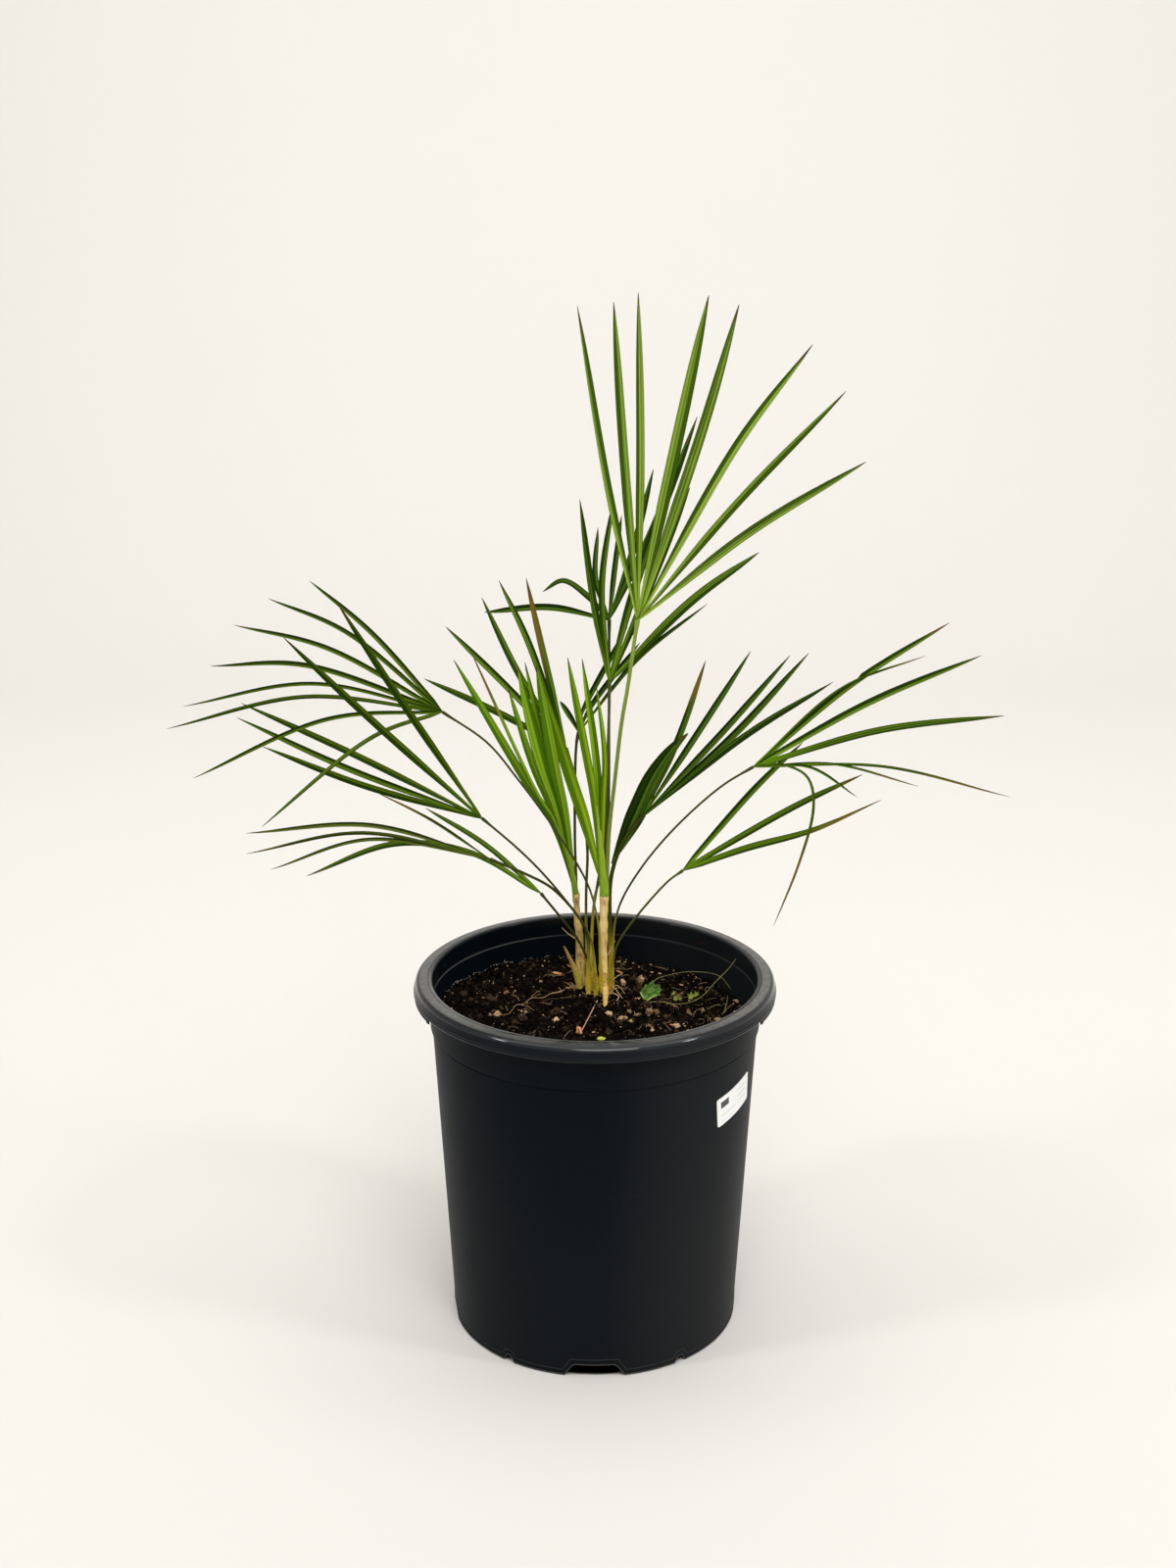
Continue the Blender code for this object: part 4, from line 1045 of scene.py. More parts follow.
FRONDS = [
    Frond("frond_crown_front", "bright", "stalk_bright", "leaf_bright", (32, 40, 557), (0.1, -1, 0.15),
        [(29, 40, 536), (25, 40, 506), (20, 41, 474), (15, 43, 427), (11, 45, 386), (9.3, 47.6, 340.6)],
        [Leaflet([(-24, -14, 108), (-45, -30, 235)], 6.0, 0.10, 30),
         Leaflet([(-10, -4, 114), (-19, -8, 236)], 7.0, 0.05, -20),
         Leaflet([(1, 5, 120), (-1, 12, 241)], 6.5, 0.04, 12),
         Leaflet([(30, 11, 141), (51, 25, 238)], 9.0, 0.04, -8),
         Leaflet([(44, 9, 134), (73, 20, 232)], 8.5, 0.06, 18),
         Leaflet([(68, -4, 126), (125, -8, 206)], 6.5, 0.09, -16),
         Leaflet([(72, -20, 93), (146, -45, 177)], 6.0, 0.06, 12),
         Leaflet([(77, -38, 72), (157, -85, 133)], 6.5, 0.04, -20)],
        slim=1.5, thick=1.5, waist=0.36),
    Frond("frond_crown_middle", "green", "stalk_green", "leaf_green", (11, 70, 501), (0, -1, 0.1),
        [(11, 69, 481), (10, 67, 451), (9, 65, 420), (8, 62, 373), (3, 57, 345), (-2, 53, 310)],
        [Leaflet([(-13, 11, 64), (-23, 25, 138)], 5.5, 0.04, 20),
         Leaflet([(-6, 7, 73), (3, 15, 142)], 5.0),
         Leaflet([(17, 11, 64), (48, 25, 158)], 6.5),
         Leaflet([(29, 16, 67), (62, 35, 146)], 6.0),
         Leaflet([(62, 20, 58), (117, 45, 93)], 7.0, 0.03, -15)],
        thick=1.5, foot=(-3, 51), waist=0.5),
    Frond("frond_crown_back", "dark", "stalk_dark", "leaf_dark", (11, 110, 541), (0, -1, 0.25),
        [(11, 108, 496), (11, 100, 458), (11, 85, 413), (10, 72, 369), (5, 64, 345), (-1, 60, 320)],
        [Leaflet([(-48, 32, 3), (-102, 70, -10)], 5.5, 0.08),
         Leaflet([(-17, 8, 17), (-36, 19, 27), (-53, 30, 16)], 5.0, 0.1, 30),
         Leaflet([(-11, 18, 30), (-9, 40, 66)], 4.5, 0.1, 20),
         Leaflet([(4, 23, 33), (10, 50, 74)], 4.5),
         Leaflet([(18, 20, 49), (35, 45, 112)], 5.5),
         Leaflet([(36, 27, 71), (64, 60, 136)], 6.0),
         Leaflet([(39, 38, 73), (71, 85, 148)], 6.0)],
        thick=1.5, foot=(-3.5, 57), waist=0.5),
    Frond("frond_left_back", "dark", "stalk_dark", "leaf_dark", (-13, 92, 454), (0, -1, 0.3),
        [(-15, 90, 443), (-16, 84, 414), (-16, 76, 368), (-15, 70, 338), (-14.5, 67, 297)],
        [Leaflet([(-8, 4, 14), (-15, 10, 23)], 4.5, 0.0),
         Leaflet([(4, -1, 20), (38, -2, 86)], 4.5),
         Leaflet([(12, 0, 25), (48, 4, 72)], 4.5),
         Leaflet([(46, -2, 60), (100, -4, 105)], 3.4, 0.05)],
        thick=1.4, foot=(-14, 66)),
    Frond("frond_left_upper", "green", "stalk_green", "leaf_green", (-23, 82, 444), (-0.2, -1, 0.2),
        [(-19, 81, 432), (-14, 79, 415), (-9, 75, 392), (-6, 69, 362), (-7, 66, 331), (-7, 65, 300)],
        [Leaflet([(-17, 11, 72), (-31, 25, 131)], 5.5, 0.55),
         Leaflet([(-28, 18, 78), (-53, 40, 126)], 5.5, 0.1),
         Leaflet([(-36, 20, 53), (-67, 45, 111)], 5.5, 0.06),
         Leaflet([(-47, 14, 47), (-95, 30, 91)], 5.5, 0.08),
         Leaflet([(-54, 2, 29), (-111, 5, 55)], 5.5, 0.05)],
        thick=1.4, foot=(-6, 65)),
    Frond("frond_left_wide", "olive", "stalk_dark", "leaf_green", (-115, 15, 492), (-0.15, -0.75, 0.65),
        [(-82, 16, 468), (-58, 18, 437), (-35, 21, 403), (-15, 26, 369), (-3, 31, 341),
         (3, 34, 311), (4, 37, 287)],
        [Leaflet([(-55, 50, 47), (-111, 110, 77)], 4.2, 0.05, 10),
         Leaflet([(-72, 43, 49), (-142, 95, 66)], 3.8, 0.06),
         Leaflet([(-86, 32, 40), (-166, 72, 50)], 4.0, 0.09),
         Leaflet([(-100, 20, 30), (-181, 45, 24)], 4.3, 0.04),
         Leaflet([(-98, 7, 20), (-198, 15, 0)], 3.0, 0.10, -25),
         Leaflet([(-103, -5, 13), (-206, -12, -10)], 3.2, 0.09, -30),
         Leaflet([(-86, -27, 1), (-179, -60, -34)], 3.4, 0.07, -20),
         Leaflet([(-53, -45, -10), (-124, -100, -58)], 4.0, 0.05, 15)],
        slim=0.85, thick=2.2, foot=(5.6, 40.5), waist=0.85),
    Frond("frond_left_middle", "side", "stalk_dark", "leaf_green", (-85, -10, 416), (-0.3, -1, 0.3),
        [(-58, -6, 390), (-37, 3, 364), (-17, 13, 334), (-5, 24, 310), (-1, 31, 290)],
        [Leaflet([(-55, -16, 93), (-99, -35, 173)], 5.8, 0.10),
         Leaflet([(-78, -23, 83), (-136, -52, 152)], 5.8, 0.06),
         Leaflet([(-96, 19, 44), (-184, 42, 78)], 5.2, 0.04),
         Leaflet([(-99, 22, 31), (-189, 48, 65)], 4.8, 0.04),
         Leaflet([(-90, 24, 18), (-171, 54, 40)], 5.2, 0.03)],
        slim=0.9, thick=2.0, foot=(0.8, 38)),
    Frond("frond_left_low", "dusky_shaded", "stalk_dark", "leaf_dark", (-80, 5, 378), (-0.1, -0.8, 0.6),
        [(-53, 8, 365), (-32, 15, 350), (-13, 27, 323), (-6, 33, 303), (-5, 37, 278)],
        [Leaflet([(-88, -20, 34), (-178, -45, 36)], 3.6, 0.12, -30),
         Leaflet([(-97, 7, 19), (-189, 15, -1)], 3.0, 0.14, -45),
         Leaflet([(-94, 27, 7), (-178, 60, -30)], 3.0, 0.16, -45),
         Leaflet([(-42, -27, 40), (-78, -60, 72)], 2.8, 0.40, 30)],
        thick=2.0, foot=(-5, 39), waist=0.3),
    Frond("frond_left_short", "green", "stalk_dark", "leaf_dark", (-42, 30, 341), (-0.1, -0.8, 0.6),
        [(-25, 32, 318), (-13, 37, 299), (-5, 42, 278)],
        [Leaflet([(-55, 13, 29), (-118, 28, 31), (-189, 45, -2)], 4.8, 0.10, -25),
         Leaflet([(-44, 18, 34), (-92, 40, 57)], 4.2, 0.08)],
        slim=1.0, thick=1.8, foot=(-1.5, 44.5), waist=0.7),
    Frond("frond_right_pleated", "dark", "stalk_dark", "leaf_dark", (37, 52, 397), (0.3, -1, 0.2),
        [(25, 54, 381), (16, 56, 359), (12, 57, 337), (12, 56, 304)],
        [Leaflet([(27, 14, 58), (49, 30, 118)], 5.5, 0.30),
         Leaflet([(44, 20, 64), (85, 45, 122)], 5.5),
         Leaflet([(61, 16, 63), (115, 35, 121)], 5.5),
         Leaflet([(68, 5, 63), (127, 10, 129)], 6.0),
         Leaflet([(76, -9, 67), (143, -20, 114)], 5.5),
         Leaflet([(-6, 2, 0), (7, 3, 30), (22, 5, 53), (35, 6, 66)], 16.0, 0.07, free=True,
                 pleats=3, start=(-24, 3, -40), taper=2.4)],
        slim=1.6, thick=2.0, foot=(12.5, 55.5), waist=0.3),
    Frond("frond_right_wide", "side", "stalk_dark", "leaf_green", (120, 15, 449), (0.15, -0.75, 0.65),
        [(99, 17, 435), (79, 19, 417), (58, 22, 394), (39, 27, 368), (23, 33, 339), (16, 39, 315),
         (14.2, 45, 288)],
        [Leaflet([(67, 36, 51), (139, 80, 67)], 2.2, 0.20, 40),
         Leaflet([(77, 43, 53), (159, 95, 90)], 5.0, 0.12),
         Leaflet([(89, 27, 43), (179, 60, 72)], 5.4, 0.05),
         Leaflet([(94, 5, 27), (190, 12, 37)], 5.6, 0.08),
         Leaflet([(96, -18, 6), (188, -40, -11)], 2.2, 0.35, 45),
         Leaflet([(58, -29, 11), (116, -65, 5)], 1.9, 0.35, 40),
         Leaflet([(39, -34, 10), (70, -75, 0)], 2.5, 0.12),
         Leaflet([(20, -7, 4), (40, -15, -4), (44, -23, -29), (33, -32, -69), (15, -42, -113)],
                 2.2, 0.50, 30, free=True)],
        slim=0.85, thick=2.2, foot=(13.5, 49), waist=0.75),
    Frond("frond_right_low", "side", "stalk_green", "leaf_dark", (68, 25, 362), (0.1, -0.8, 0.6),
        [(55, 26, 351), (34, 30, 324), (19, 35, 299), (14, 39, 280)],
        [Leaflet([(54, 23, 57), (95, 50, 89)], 5.0),
         Leaflet([(80, -5, 51), (135, -10, 81)], 5.2, 0.16),
         Leaflet([(47, -11, 21.5), (98, -22, 40.6), (147, -30, 67)], 5.6, 0.38, taper=1.5)],
        slim=0.9, thick=2.2, foot=(12, 42), waist=0.75),
]


# Young leaves, with their pleats still together above the stem


YOUNG_LEAVES = [
    Frond("young_leaf_left", "young", "stalk_young", "leaf_green", (-16, 54.5, 336), (-0.25, -1, 0.1),
        [(-15.6, 54.8, 334), (-15.2, 55, 332)],
        [Leaflet([(-16, -5, 55), (-38, -9, 93), (-92, -6, 188)], 6.5, 0.05, 15),
         Leaflet([(-14, -8, 55), (-34, -12, 93), (-80, -13, 200)], 3.0, 0.35, 50, free=True),
         Leaflet([(-15, -4, 60), (-33, -3, 105), (-51, -4, 166)], 6.0, 0.06, 30),
         Leaflet([(-12, -5, 62), (-25, -6, 106), (-43, -5, 182)], 11.0, 0.03, -8),
         Leaflet([(-8, -5, 62), (-16, -7, 106), (-29, -5, 183)], 9.0, 0.03, 10),
         Leaflet([(-10, 0, 62), (-21, 2, 106), (-38, 3, 184)], 6.0, 0.06, free=True)],
        slim=1.9, thick=1.9, root=1.0, fold=0.26,
        sheath=Sheath([((-15.2, 55, 330), 2.5), ((-17, 54.2, 344), 2.3), ((-20.5, 53, 362), 1.9),
                       ((-25, 52, 382), 1.2), ((-29, 51, 398), 0.4)])),
    Frond("young_leaf_right", "lime", "stalk_lime", "leaf_lime", (5, 46.5, 346), (0.1, -1, 0.1),
        [(5, 46.8, 343), (5, 47, 340.6)],
        [Leaflet([(-13, 4, 48), (-26, 10, 88), (-46, 17, 152)], 9.5, 0.03, -10, free=True),
         Leaflet([(-5, 0, 63), (-12, -1, 105), (-26, -2, 181)], 6.5, 0.05, -12),
         Leaflet([(-2, 1, 63), (-5, 1, 105), (-15, 2, 179)], 6.0, 0.05, 8),
         Leaflet([(1, -1, 63), (2, -1, 105), (-4, -1, 158)], 4.5, 0.04, 16)],
        slim=1.5, thick=1.5, root=1.1, fold=0.26,
        sheath=Sheath([((7.1, 47.7, 331.5), 3.3), ((7.2, 47.6, 334), 3.7), ((7.2, 47.6, 341), 3.6),
                       ((6.4, 47.2, 352), 3.1), ((4.8, 46.8, 372), 2.3), ((3.0, 46.5, 392), 1.5),
                       ((1.5, 46.4, 408), 0.5)])),
]


@dataclass
class Canopy:
    """All fronds and young leaves."""

    def finishes(self) -> dict[str, Material]:
        """Return the leaf and stalk materials by name."""
        # The leaf finishes differ in the leaves' own greens and also paint light: bright is partly a lit copy
        # for the front leaf, and dark, dusky and olive are partly shaded copies.
        leaves = (
            LeafFinish("bright", tint(126, 156, 44), tint(54, 82, 4), tint(160, 190, 66), tint(168, 192, 92)),
            LeafFinish("green", tint(80, 110, 14), tint(30, 56, 1), tint(112, 150, 30), tint(128, 156, 54)),
            LeafFinish("olive", tint(62, 82, 6), tint(24, 42, 0), tint(68, 94, 12), tint(102, 124, 34)),
            LeafFinish("side", tint(72, 100, 8), tint(26, 50, 0), tint(104, 142, 24), tint(116, 144, 40)),
            LeafFinish("dusky_shaded", tint(74, 90, 20), tint(34, 44, 3), tint(96, 110, 30), tint(116, 122, 58)),
            LeafFinish("dark", tint(58, 85, 11), tint(22, 44, 2), tint(80, 118, 24), tint(98, 126, 44)),
            LeafFinish("young", tint(120, 158, 20), tint(68, 106, 4), tint(140, 174, 40), tint(152, 184, 60)),
            LeafFinish("lime", tint(126, 164, 10), tint(76, 110, 2), tint(148, 186, 30), tint(166, 196, 58)))
        # The fifth colour of a stalk, where given, is its painted highlight.
        stalks = (
            StalkFinish("stalk_bright", tint(136, 160, 70), tint(112, 136, 52), tint(120, 136, 56)),
            StalkFinish("stalk_green", tint(52, 68, 16), tint(58, 66, 20), tint(214, 192, 66),
                        (0.15, 0.17, 0.035)),
            StalkFinish("stalk_dark", tint(30, 36, 10), tint(44, 50, 16), tint(210, 190, 64),
                        (0.11, 0.12, 0.025)),
            StalkFinish("stalk_young", tint(124, 164, 34), tint(142, 180, 46), tint(158, 184, 64),
                        painted_crease_shade=0.4),
            StalkFinish("stalk_lime", tint(150, 196, 34), tint(160, 204, 44), tint(176, 200, 70),
                        painted_crease_shade=0.4))
        return {finish.name: finish.material() for finish in leaves + stalks}

    def build(self) -> None:
        """Build every frond."""
        finishes = self.finishes()
        for order, frond in enumerate(FRONDS + YOUNG_LEAVES):
            frond.build(finishes, order)


# Stems, sheaths and roots


@dataclass
class Stem:
    """An upright stem with fibrous, slightly uneven bark."""

    node: str
    slot: str
    finish: BarkFinish
    route: list[Point]
    radii: Pair
    seed: int
    frayed: int = 14
    fibre_radii: tuple[float, ...] = (0.4, 0.4, 0.35, 0.3, 0.25, 0.15, 0.08)

    def radius(self, share: float, height: float) -> float:
        """Return the stem's radius at a share of its length, which lies at a height."""
        swell = 0.22 * math.sin(share * 19.0 + self.seed) + 0.12 * math.sin(share * 47.0)
        foot = 0.9 * (1.0 - ease(height, SOIL_LEVEL, SOIL_LEVEL + 16.0))
        return self.radii[0] + (self.radii[1] - self.radii[0]) * share + swell + foot

    def build(self) -> None:
        """Build the stem and the torn fibres at its top."""
        draw = random.Random(SEED + self.seed)
        maker = MeshMaker()
        path = resample(smooth_path(self.route, 10), 90)
        last = len(path) - 1
        maker.rod(path, [self.radius(step / last, point.z) for step, point in enumerate(path)], sides=28)
        self.roughen(maker)
        top = path[-1]
        for _ in range(self.frayed):
            out = polar(1.0, draw.random() * math.tau)
            low = top + out * (self.radii[1] - 0.2) + Vector((0.0, 0.0, -draw.uniform(4.0, 9.0)))
            reach = self.radii[1] + draw.uniform(-0.5, 0.3)
            high = top + out * reach + Vector((0.0, 0.0, draw.uniform(0.5, 3.5)))
            fibre = smooth_path([low, (low + high) / 2 + out * 0.25, high], 3)
            maker.rod(fibre, list(self.fibre_radii), sides=5, tone=draw.random())
        maker.piece(self.node + "_bark", [self.finish.material()], self.node)

    def roughen(self, maker: MeshMaker) -> None:
        """Push the bark in and out by a long-grained noise."""
        for index, vertex in enumerate(maker.vertices):
            place = vertex / MM
            share = noise.noise(Vector((place.x * 0.9, place.y * 0.9, place.z * 0.16 + self.seed)))
            axis = Vector((self.route[1][0], self.route[1][1], place.z))
            out = (place - axis).normalized()
            maker.vertices[index] = vertex + out * (share * 0.35 * MM)


STEMS = [
    Stem("stem_left", "stem_brown",
         BarkFinish("bark_brown", tint(250, 218, 140), tint(142, 116, 62), tint(166, 124, 78), 5.0),
         [(-11, 58, 243), (-11, 58, 251), (-12, 57, 290), (-14, 56, 312), (-15, 55, 331.6)], (3.6, 2.5), 1),
    Stem("stem_right", "stem_tan",
         BarkFinish("bark_tan", tint(255, 238, 166), tint(232, 182, 98), tint(222, 150, 84), 5.0),
         [(7, 48, 243), (7, 48, 251), (6.6, 48, 290), (7, 48, 318), (7.2, 47.7, 334.5)], (3.4, 3.3), 2),
]


@dataclass
class Blade:
    """A lanceolate strip: its points, its widest half width and the way that it faces."""

    points: list[Point]
    half: float
    face: Point
    tone: float = 0.5
    base: float = 0.55

    def add(self, maker: MeshMaker, slot: int = 0) -> None:
        """Add the strip as a closed, cupped skin."""
        line = resample(smooth_path(self.points, 8), 22)
        facing = Vector(self.face).normalized()
        rings = []
        for row, (point, direction) in enumerate(zip(line, tangents(line))):
            share = row / (len(line) - 1)
            swell = self.base + (1.0 - self.base) * math.sin(math.pi * min(1.0, share * 1.6))
            half = self.half * swell * (1.0 - share ** 2.2 * 0.94)
            side = direction.cross(facing).normalized()
            out = side.cross(direction).normalized()
            front, back = [], []
            for column in range(7):
                across = column / 3.0 - 1.0
                cup = point + side * (across * half) - out * (half * 0.5 * (across * across))
                fray = noise.noise(cup * 0.8) * 0.15
                front.append(maker.vertex(cup + out * (0.22 + fray), share, across, self.tone))
                back.append(maker.vertex(cup - out * 0.22, share, across, self.tone))
            rings.append(front + back[::-1])
        maker.skin(rings, slot)


@dataclass
class StemFoot:
    """Everything round the foot of the stems: sheath blades, fine roots and one thick root."""

    blade_half: float = 3.0
    blade_rise: float = 40.0
    root_count: int = 12
    seed: int = 5
    centre: Point = (0.0, 49.0, 0.0)
    pale_roots: tuple[tuple[list[Point], float], ...] = (
        ([(9, 46, 254), (12, 43, 260), (17, 42, 266), (22, 44, 268)], 0.45),
        ([(10, 45, 253), (14, 42, 258), (19, 40, 259), (24, 38, 253)], 0.40),
        ([(13, 42, 258), (16, 38, 258), (19, 34, 255), (22, 31, 252)], 0.42),
        ([(10, 43, 252), (15, 37, 254), (19, 33, 253), (17, 29, 251)], 0.38),
        ([(-7, 45, 253), (-1, 41, 254.5), (6, 40, 255), (13, 41, 253)], 0.5))
    tail: tuple[Point, ...] = (
        (7.4, 46, 268), (8.0, 42, 260), (8.4, 35, 255.4), (8.4, 26, 253.4), (8.2, 17.5, 250.6))

    def blades(self) -> list[Blade]:
        """Return the sheath blade that clasps the foot of each petiole."""
        blades = []
        for order, frond in enumerate(FRONDS):
            if frond.foot is None:
                continue
            path = [point for point in frond.stalk_path() if -2.0 < point.z - SOIL_LEVEL < self.blade_rise]
            path.reverse()
            out = Vector((frond.foot[0] * 0.6, frond.foot[1] - 50.0, 0.0)).normalized()
            last = len(path) - 1
            points = [tuple(point + out * (2.2 - 1.7 * place / last)) for place, point in enumerate(path)]
            blades.append(Blade(points, self.blade_half, (out.x, out.y, 0.2), order * 0.37 % 1.0, 0.30))
        return blades

    def add_roots(self, maker: MeshMaker) -> None:
        """Add the roots that lie round the foot, and the pale ones that stand clear of the soil."""
        draw = random.Random(SEED + self.seed)
        for _ in range(self.root_count):
            angle = draw.uniform(0.0, math.tau)
            start = Vector(self.centre) + Vector((math.cos(angle) * 14.0, math.sin(angle) * 8.0, 0.0))
            length = draw.uniform(8.0, 22.0)
            path, radii = ground_root(start, angle, length, draw.uniform(0.18, 0.30), 2.0, draw)
            maker.rod(path, radii, sides=6, slot=1, tone=draw.random())
        for points, radius in self.pale_roots:
            path = smooth_path(points, 8)
            maker.rod(path, thinning(path, radius * 1.1, radius * 0.5), sides=7, slot=1, tone=draw.random())

    def build(self) -> None:
        """Build the foot."""
        finishes = (
            BarkFinish("sheath", tint(236, 208, 66), tint(120, 94, 20), tint(196, 150, 62), 8.0,
                       tint(126, 120, 40)),
            BarkFinish("pale_root", tint(232, 202, 160), tint(160, 124, 82), tint(206, 170, 124)),
            BarkFinish("root_tail", tint(222, 184, 112), tint(140, 104, 50), tint(196, 160, 76), 5.0))
        maker = MeshMaker()
        for blade in self.blades():
            blade.add(maker)
        self.add_roots(maker)
        path = smooth_path(self.tail, 8)
        radii = [3.3 - 1.9 * (step / len(path)) ** 1.3 for step in range(len(path))]
        maker.rod(path, radii, sides=16, slot=2, tone=0.8)
        maker.piece("stem_foot_sheaths", [finish.material() for finish in finishes])


def ground_root(start: Vector, heading: float, length: float, radius: float, rise: float,
                draw: random.Random) -> tuple[Path, list[float]]:
    """Lay a thin curved root on the soil.

    Args:
        start: Where it starts; its height is ignored.
        heading: Its first direction in radians.
        length: Its length.
        radius: Its radius.
        rise: How far its middle stands off the soil.
        draw: The random draw.

    Returns:
        Its centre line and its radius at each point.
    """
    steps = 12
    points = []
    x, y = start.x, start.y
    turn = draw.uniform(-0.28, 0.28)
    for step in range(steps):
        share = step / (steps - 1)
        lift = math.sin(math.pi * share) * rise * draw.uniform(0.7, 1.0)
        points.append(Vector((x, y, soil_height(x, y) + 0.9 + lift)))
        heading += turn + draw.uniform(-0.2, 0.2)
        x += math.cos(heading) * length / steps
        y += math.sin(heading) * length / steps
    path = smooth_path(points, 2)
    return path, thinning(path, radius, radius * 0.6)


@dataclass
class Twigs:
    """The pointed shoot and the two broken twig ends beside the stems."""

    shoot: tuple[Point, ...] = ((-12.5, 48.6, 240), (-12.5, 48.6, 252), (-17, 49, 270), (-25, 50, 289))
    ends: tuple[tuple[str, list[Point]], ...] = (
        ("twig_left", [(-14, 54, 293), (-21, 51, 299), (-26.3, 49, 305.2)]),
        ("twig_right", [(10.4, 48.0, 282), (13.6, 50.4, 288.5), (16.1, 51.6, 293.4)]))

    def build_shoot(self) -> None:
        """Build the pointed shoot and the blade that clasps it."""
        olive = BarkFinish("shoot_olive", tint(214, 196, 76), tint(128, 112, 34), tint(190, 160, 76), 6.0,
                           tint(196, 150, 92))
        clasp = Blade([(-11.2, 46.6, 250), (-13.8, 46.2, 263), (-17.8, 46.4, 276), (-24.0, 47.6, 290)],
                      3.1, (-0.2, -1, 0.1), 0.7)
        maker = MeshMaker()
        path = smooth_path(self.shoot, 10)
        last = len(path) - 1
        radii = [0.15 + 2.1 * (1.0 - (step / last) ** 2.0) for step in range(last + 1)]
        maker.rod(path, radii, sides=16, flatten=0.8)
        clasp.add(maker)
        maker.piece("shoot_left_spear", [olive.material()], "shoot_left")

    def build(self) -> None:
        """Build the three pieces."""
        self.build_shoot()
        wood = BarkFinish("broken_twig", tint(214, 178, 132), tint(140, 104, 66), tint(236, 214, 180))
        for node, points in self.ends:
            maker = MeshMaker()
            path = smooth_path(points, 8)
            last = len(path) - 1
            maker.rod(path, [0.75 - 0.5 * (step / last) ** 1.6 for step in range(last + 1)], sides=12)
            maker.piece(node + "_end", [wood.material()], node)


# Soil


@dataclass
class Soil:
    """Peat with crumbs, tan pebbles, bark chips and fine roots.

    A placed pebble has its place, its size and its tone, and a chip has its place, its length,
    its width and its turn in degrees.
    """

    rings: int = 110
    segments: int = 330
    bottom: float = 2.3
    bottom_radius: float = 110.0
    crumbs: int = 6000
    pale_crumbs: float = 0.07
    wall_crumbs: int = 150
    pebbles: int = 210
    tan_pebbles: float = 0.16
    threads: int = 150
    foot_crumbs: int = 170
    wall_specks: int = 90
    clearing: Point = (0.0, 50.0, 0.0)
    clearing_radius: float = 24.0
    seed: int = 3
    placed: tuple[tuple[float, float, float, float], ...] = (
        (-44, 67, 1.7, 0.88), (-71, 43, 2.9, 0.76), (-76, 0, 2.6, 0.88), (-80, 82, 1.5, 0.92),
        (-30, -12, 2.7, 0.96), (-81, 25, 3.8, 0.62), (-84, 29, 2.8, 0.58), (-30, 5, 4.2, 0.60),
        (20, 113, 2.6, 0.88), (25, 111, 1.5, 0.92), (36, 106, 1.5, 0.88), (46, 108, 1.4, 0.82),
        (23, 63, 3.0, 0.92), (36, 66, 3.7, 0.74), (38, 73, 2.8, 0.88), (53, 90, 1.5, 0.88),
        (85, 62, 2.2, 0.70), (11, -1, 2.8, 0.94), (27, 6, 2.6, 0.78), (20, -8, 2.9, 0.88),
        (24, -9, 1.8, 0.84), (43, 7, 3.6, 0.76), (48, 8, 2.6, 0.72), (33, 1, 2.5, 0.82),
        (63, 11, 2.3, 0.82), (73, 3, 2.6, 0.78), (73, 9, 2.0, 0.72), (84, 13, 2.5, 0.84),
        (96, 1, 2.6, 0.84), (101, 1, 2.3, 0.84), (63, -22, 2.5, 0.95), (42, -27, 2.7, 0.74),
        (-1, -31, 1.2, 0.96), (56, -2, 3.2, 0.60), (-56, -8, 3.6, 0.58))
    chips: tuple[tuple[float, float, float, float, float], ...] = (
        (-29, 81, 6.0, 2.2, 20), (-13, -39, 3.4, 1.3, 70), (-70, 42, 2.6, 0.9, 55),
        (20, 84, 3.2, 1.3, -10), (60, -20, 3.0, 1.0, 40), (-40, -30, 2.6, 0.8, 95),
        (-88, 24, 2.4, 0.8, 60), (70, 60, 2.8, 1.0, 10), (-20, 96, 3.0, 1.0, 0))

    def surface_height(self, x: float, y: float) -> float:
        """Return the height of the crumbly surface at a place."""
        place = Vector((x, y, 0.0))
        coarse = noise.fractal(place * 0.11, 1.0, 2.1, 4)
        fine = noise.fractal(place * 0.42 + Vector((31.0, 7.0, 0.0)), 0.9, 2.0, 3)
        edge = ease(math.hypot(x, y), SOIL_RADIUS - 7.0, SOIL_RADIUS)
        lean = -0.033 * x * ease(math.hypot(x, y), 60.0, 120.0)
        return soil_height(x, y) + coarse * 1.7 + fine * 1.2 - edge * 0.8 + lean

    def on_surface(self, x: float, y: float, rise: float) -> Vector:
        """Return the place that stands off the crumbly surface by a rise."""
        return Vector((x, y, self.surface_height(x, y) + rise))

    def surface_vertex(self, maker: MeshMaker, place: Vector) -> int:
        """Add a point of the surface, with the tone of the peat there."""
        tone = 0.26 + 0.42 * noise.fractal(Vector((place.x, place.y, 5.0)) * 0.5, 0.9, 2.0, 3)
        return maker.vertex(self.on_surface(place.x, place.y, 0.0), tone=min(0.62, tone))

    def build_surface(self, material: Material) -> None:
        """Build the displaced surface and the plug below it."""
        maker = MeshMaker()
        centre = maker.vertex(self.on_surface(0.0, 0.0, 0.0), tone=0.3)
        angles = [math.tau * segment / self.segments for segment in range(self.segments)]
        rings = []
        for ring in range(1, self.rings + 1):
            radius = SOIL_RADIUS * (ring / self.rings) ** 0.72
            rings.append([self.surface_vertex(maker, polar(radius, angle)) for angle in angles])
        foot = [polar(self.bottom_radius, angle, self.bottom) for angle in angles]
        rings.append([maker.vertex(place, tone=0.0) for place in foot])
        for near, far in zip(rings, rings[1:]):
            maker.band(near, far)
        for first, second in zip(rings[0], rings[0][1:] + rings[0][:1]):
            maker.face((centre, second, first))
        maker.face(tuple(rings[-1]))
        maker.piece("soil_surface", [material], "soil")

    @staticmethod
    def spot(draw: random.Random, reach: float) -> Vector:
        """Return a random place on the soil, even over its area."""
        radius = reach * math.sqrt(draw.random())
        return polar(radius, draw.random() * math.tau)

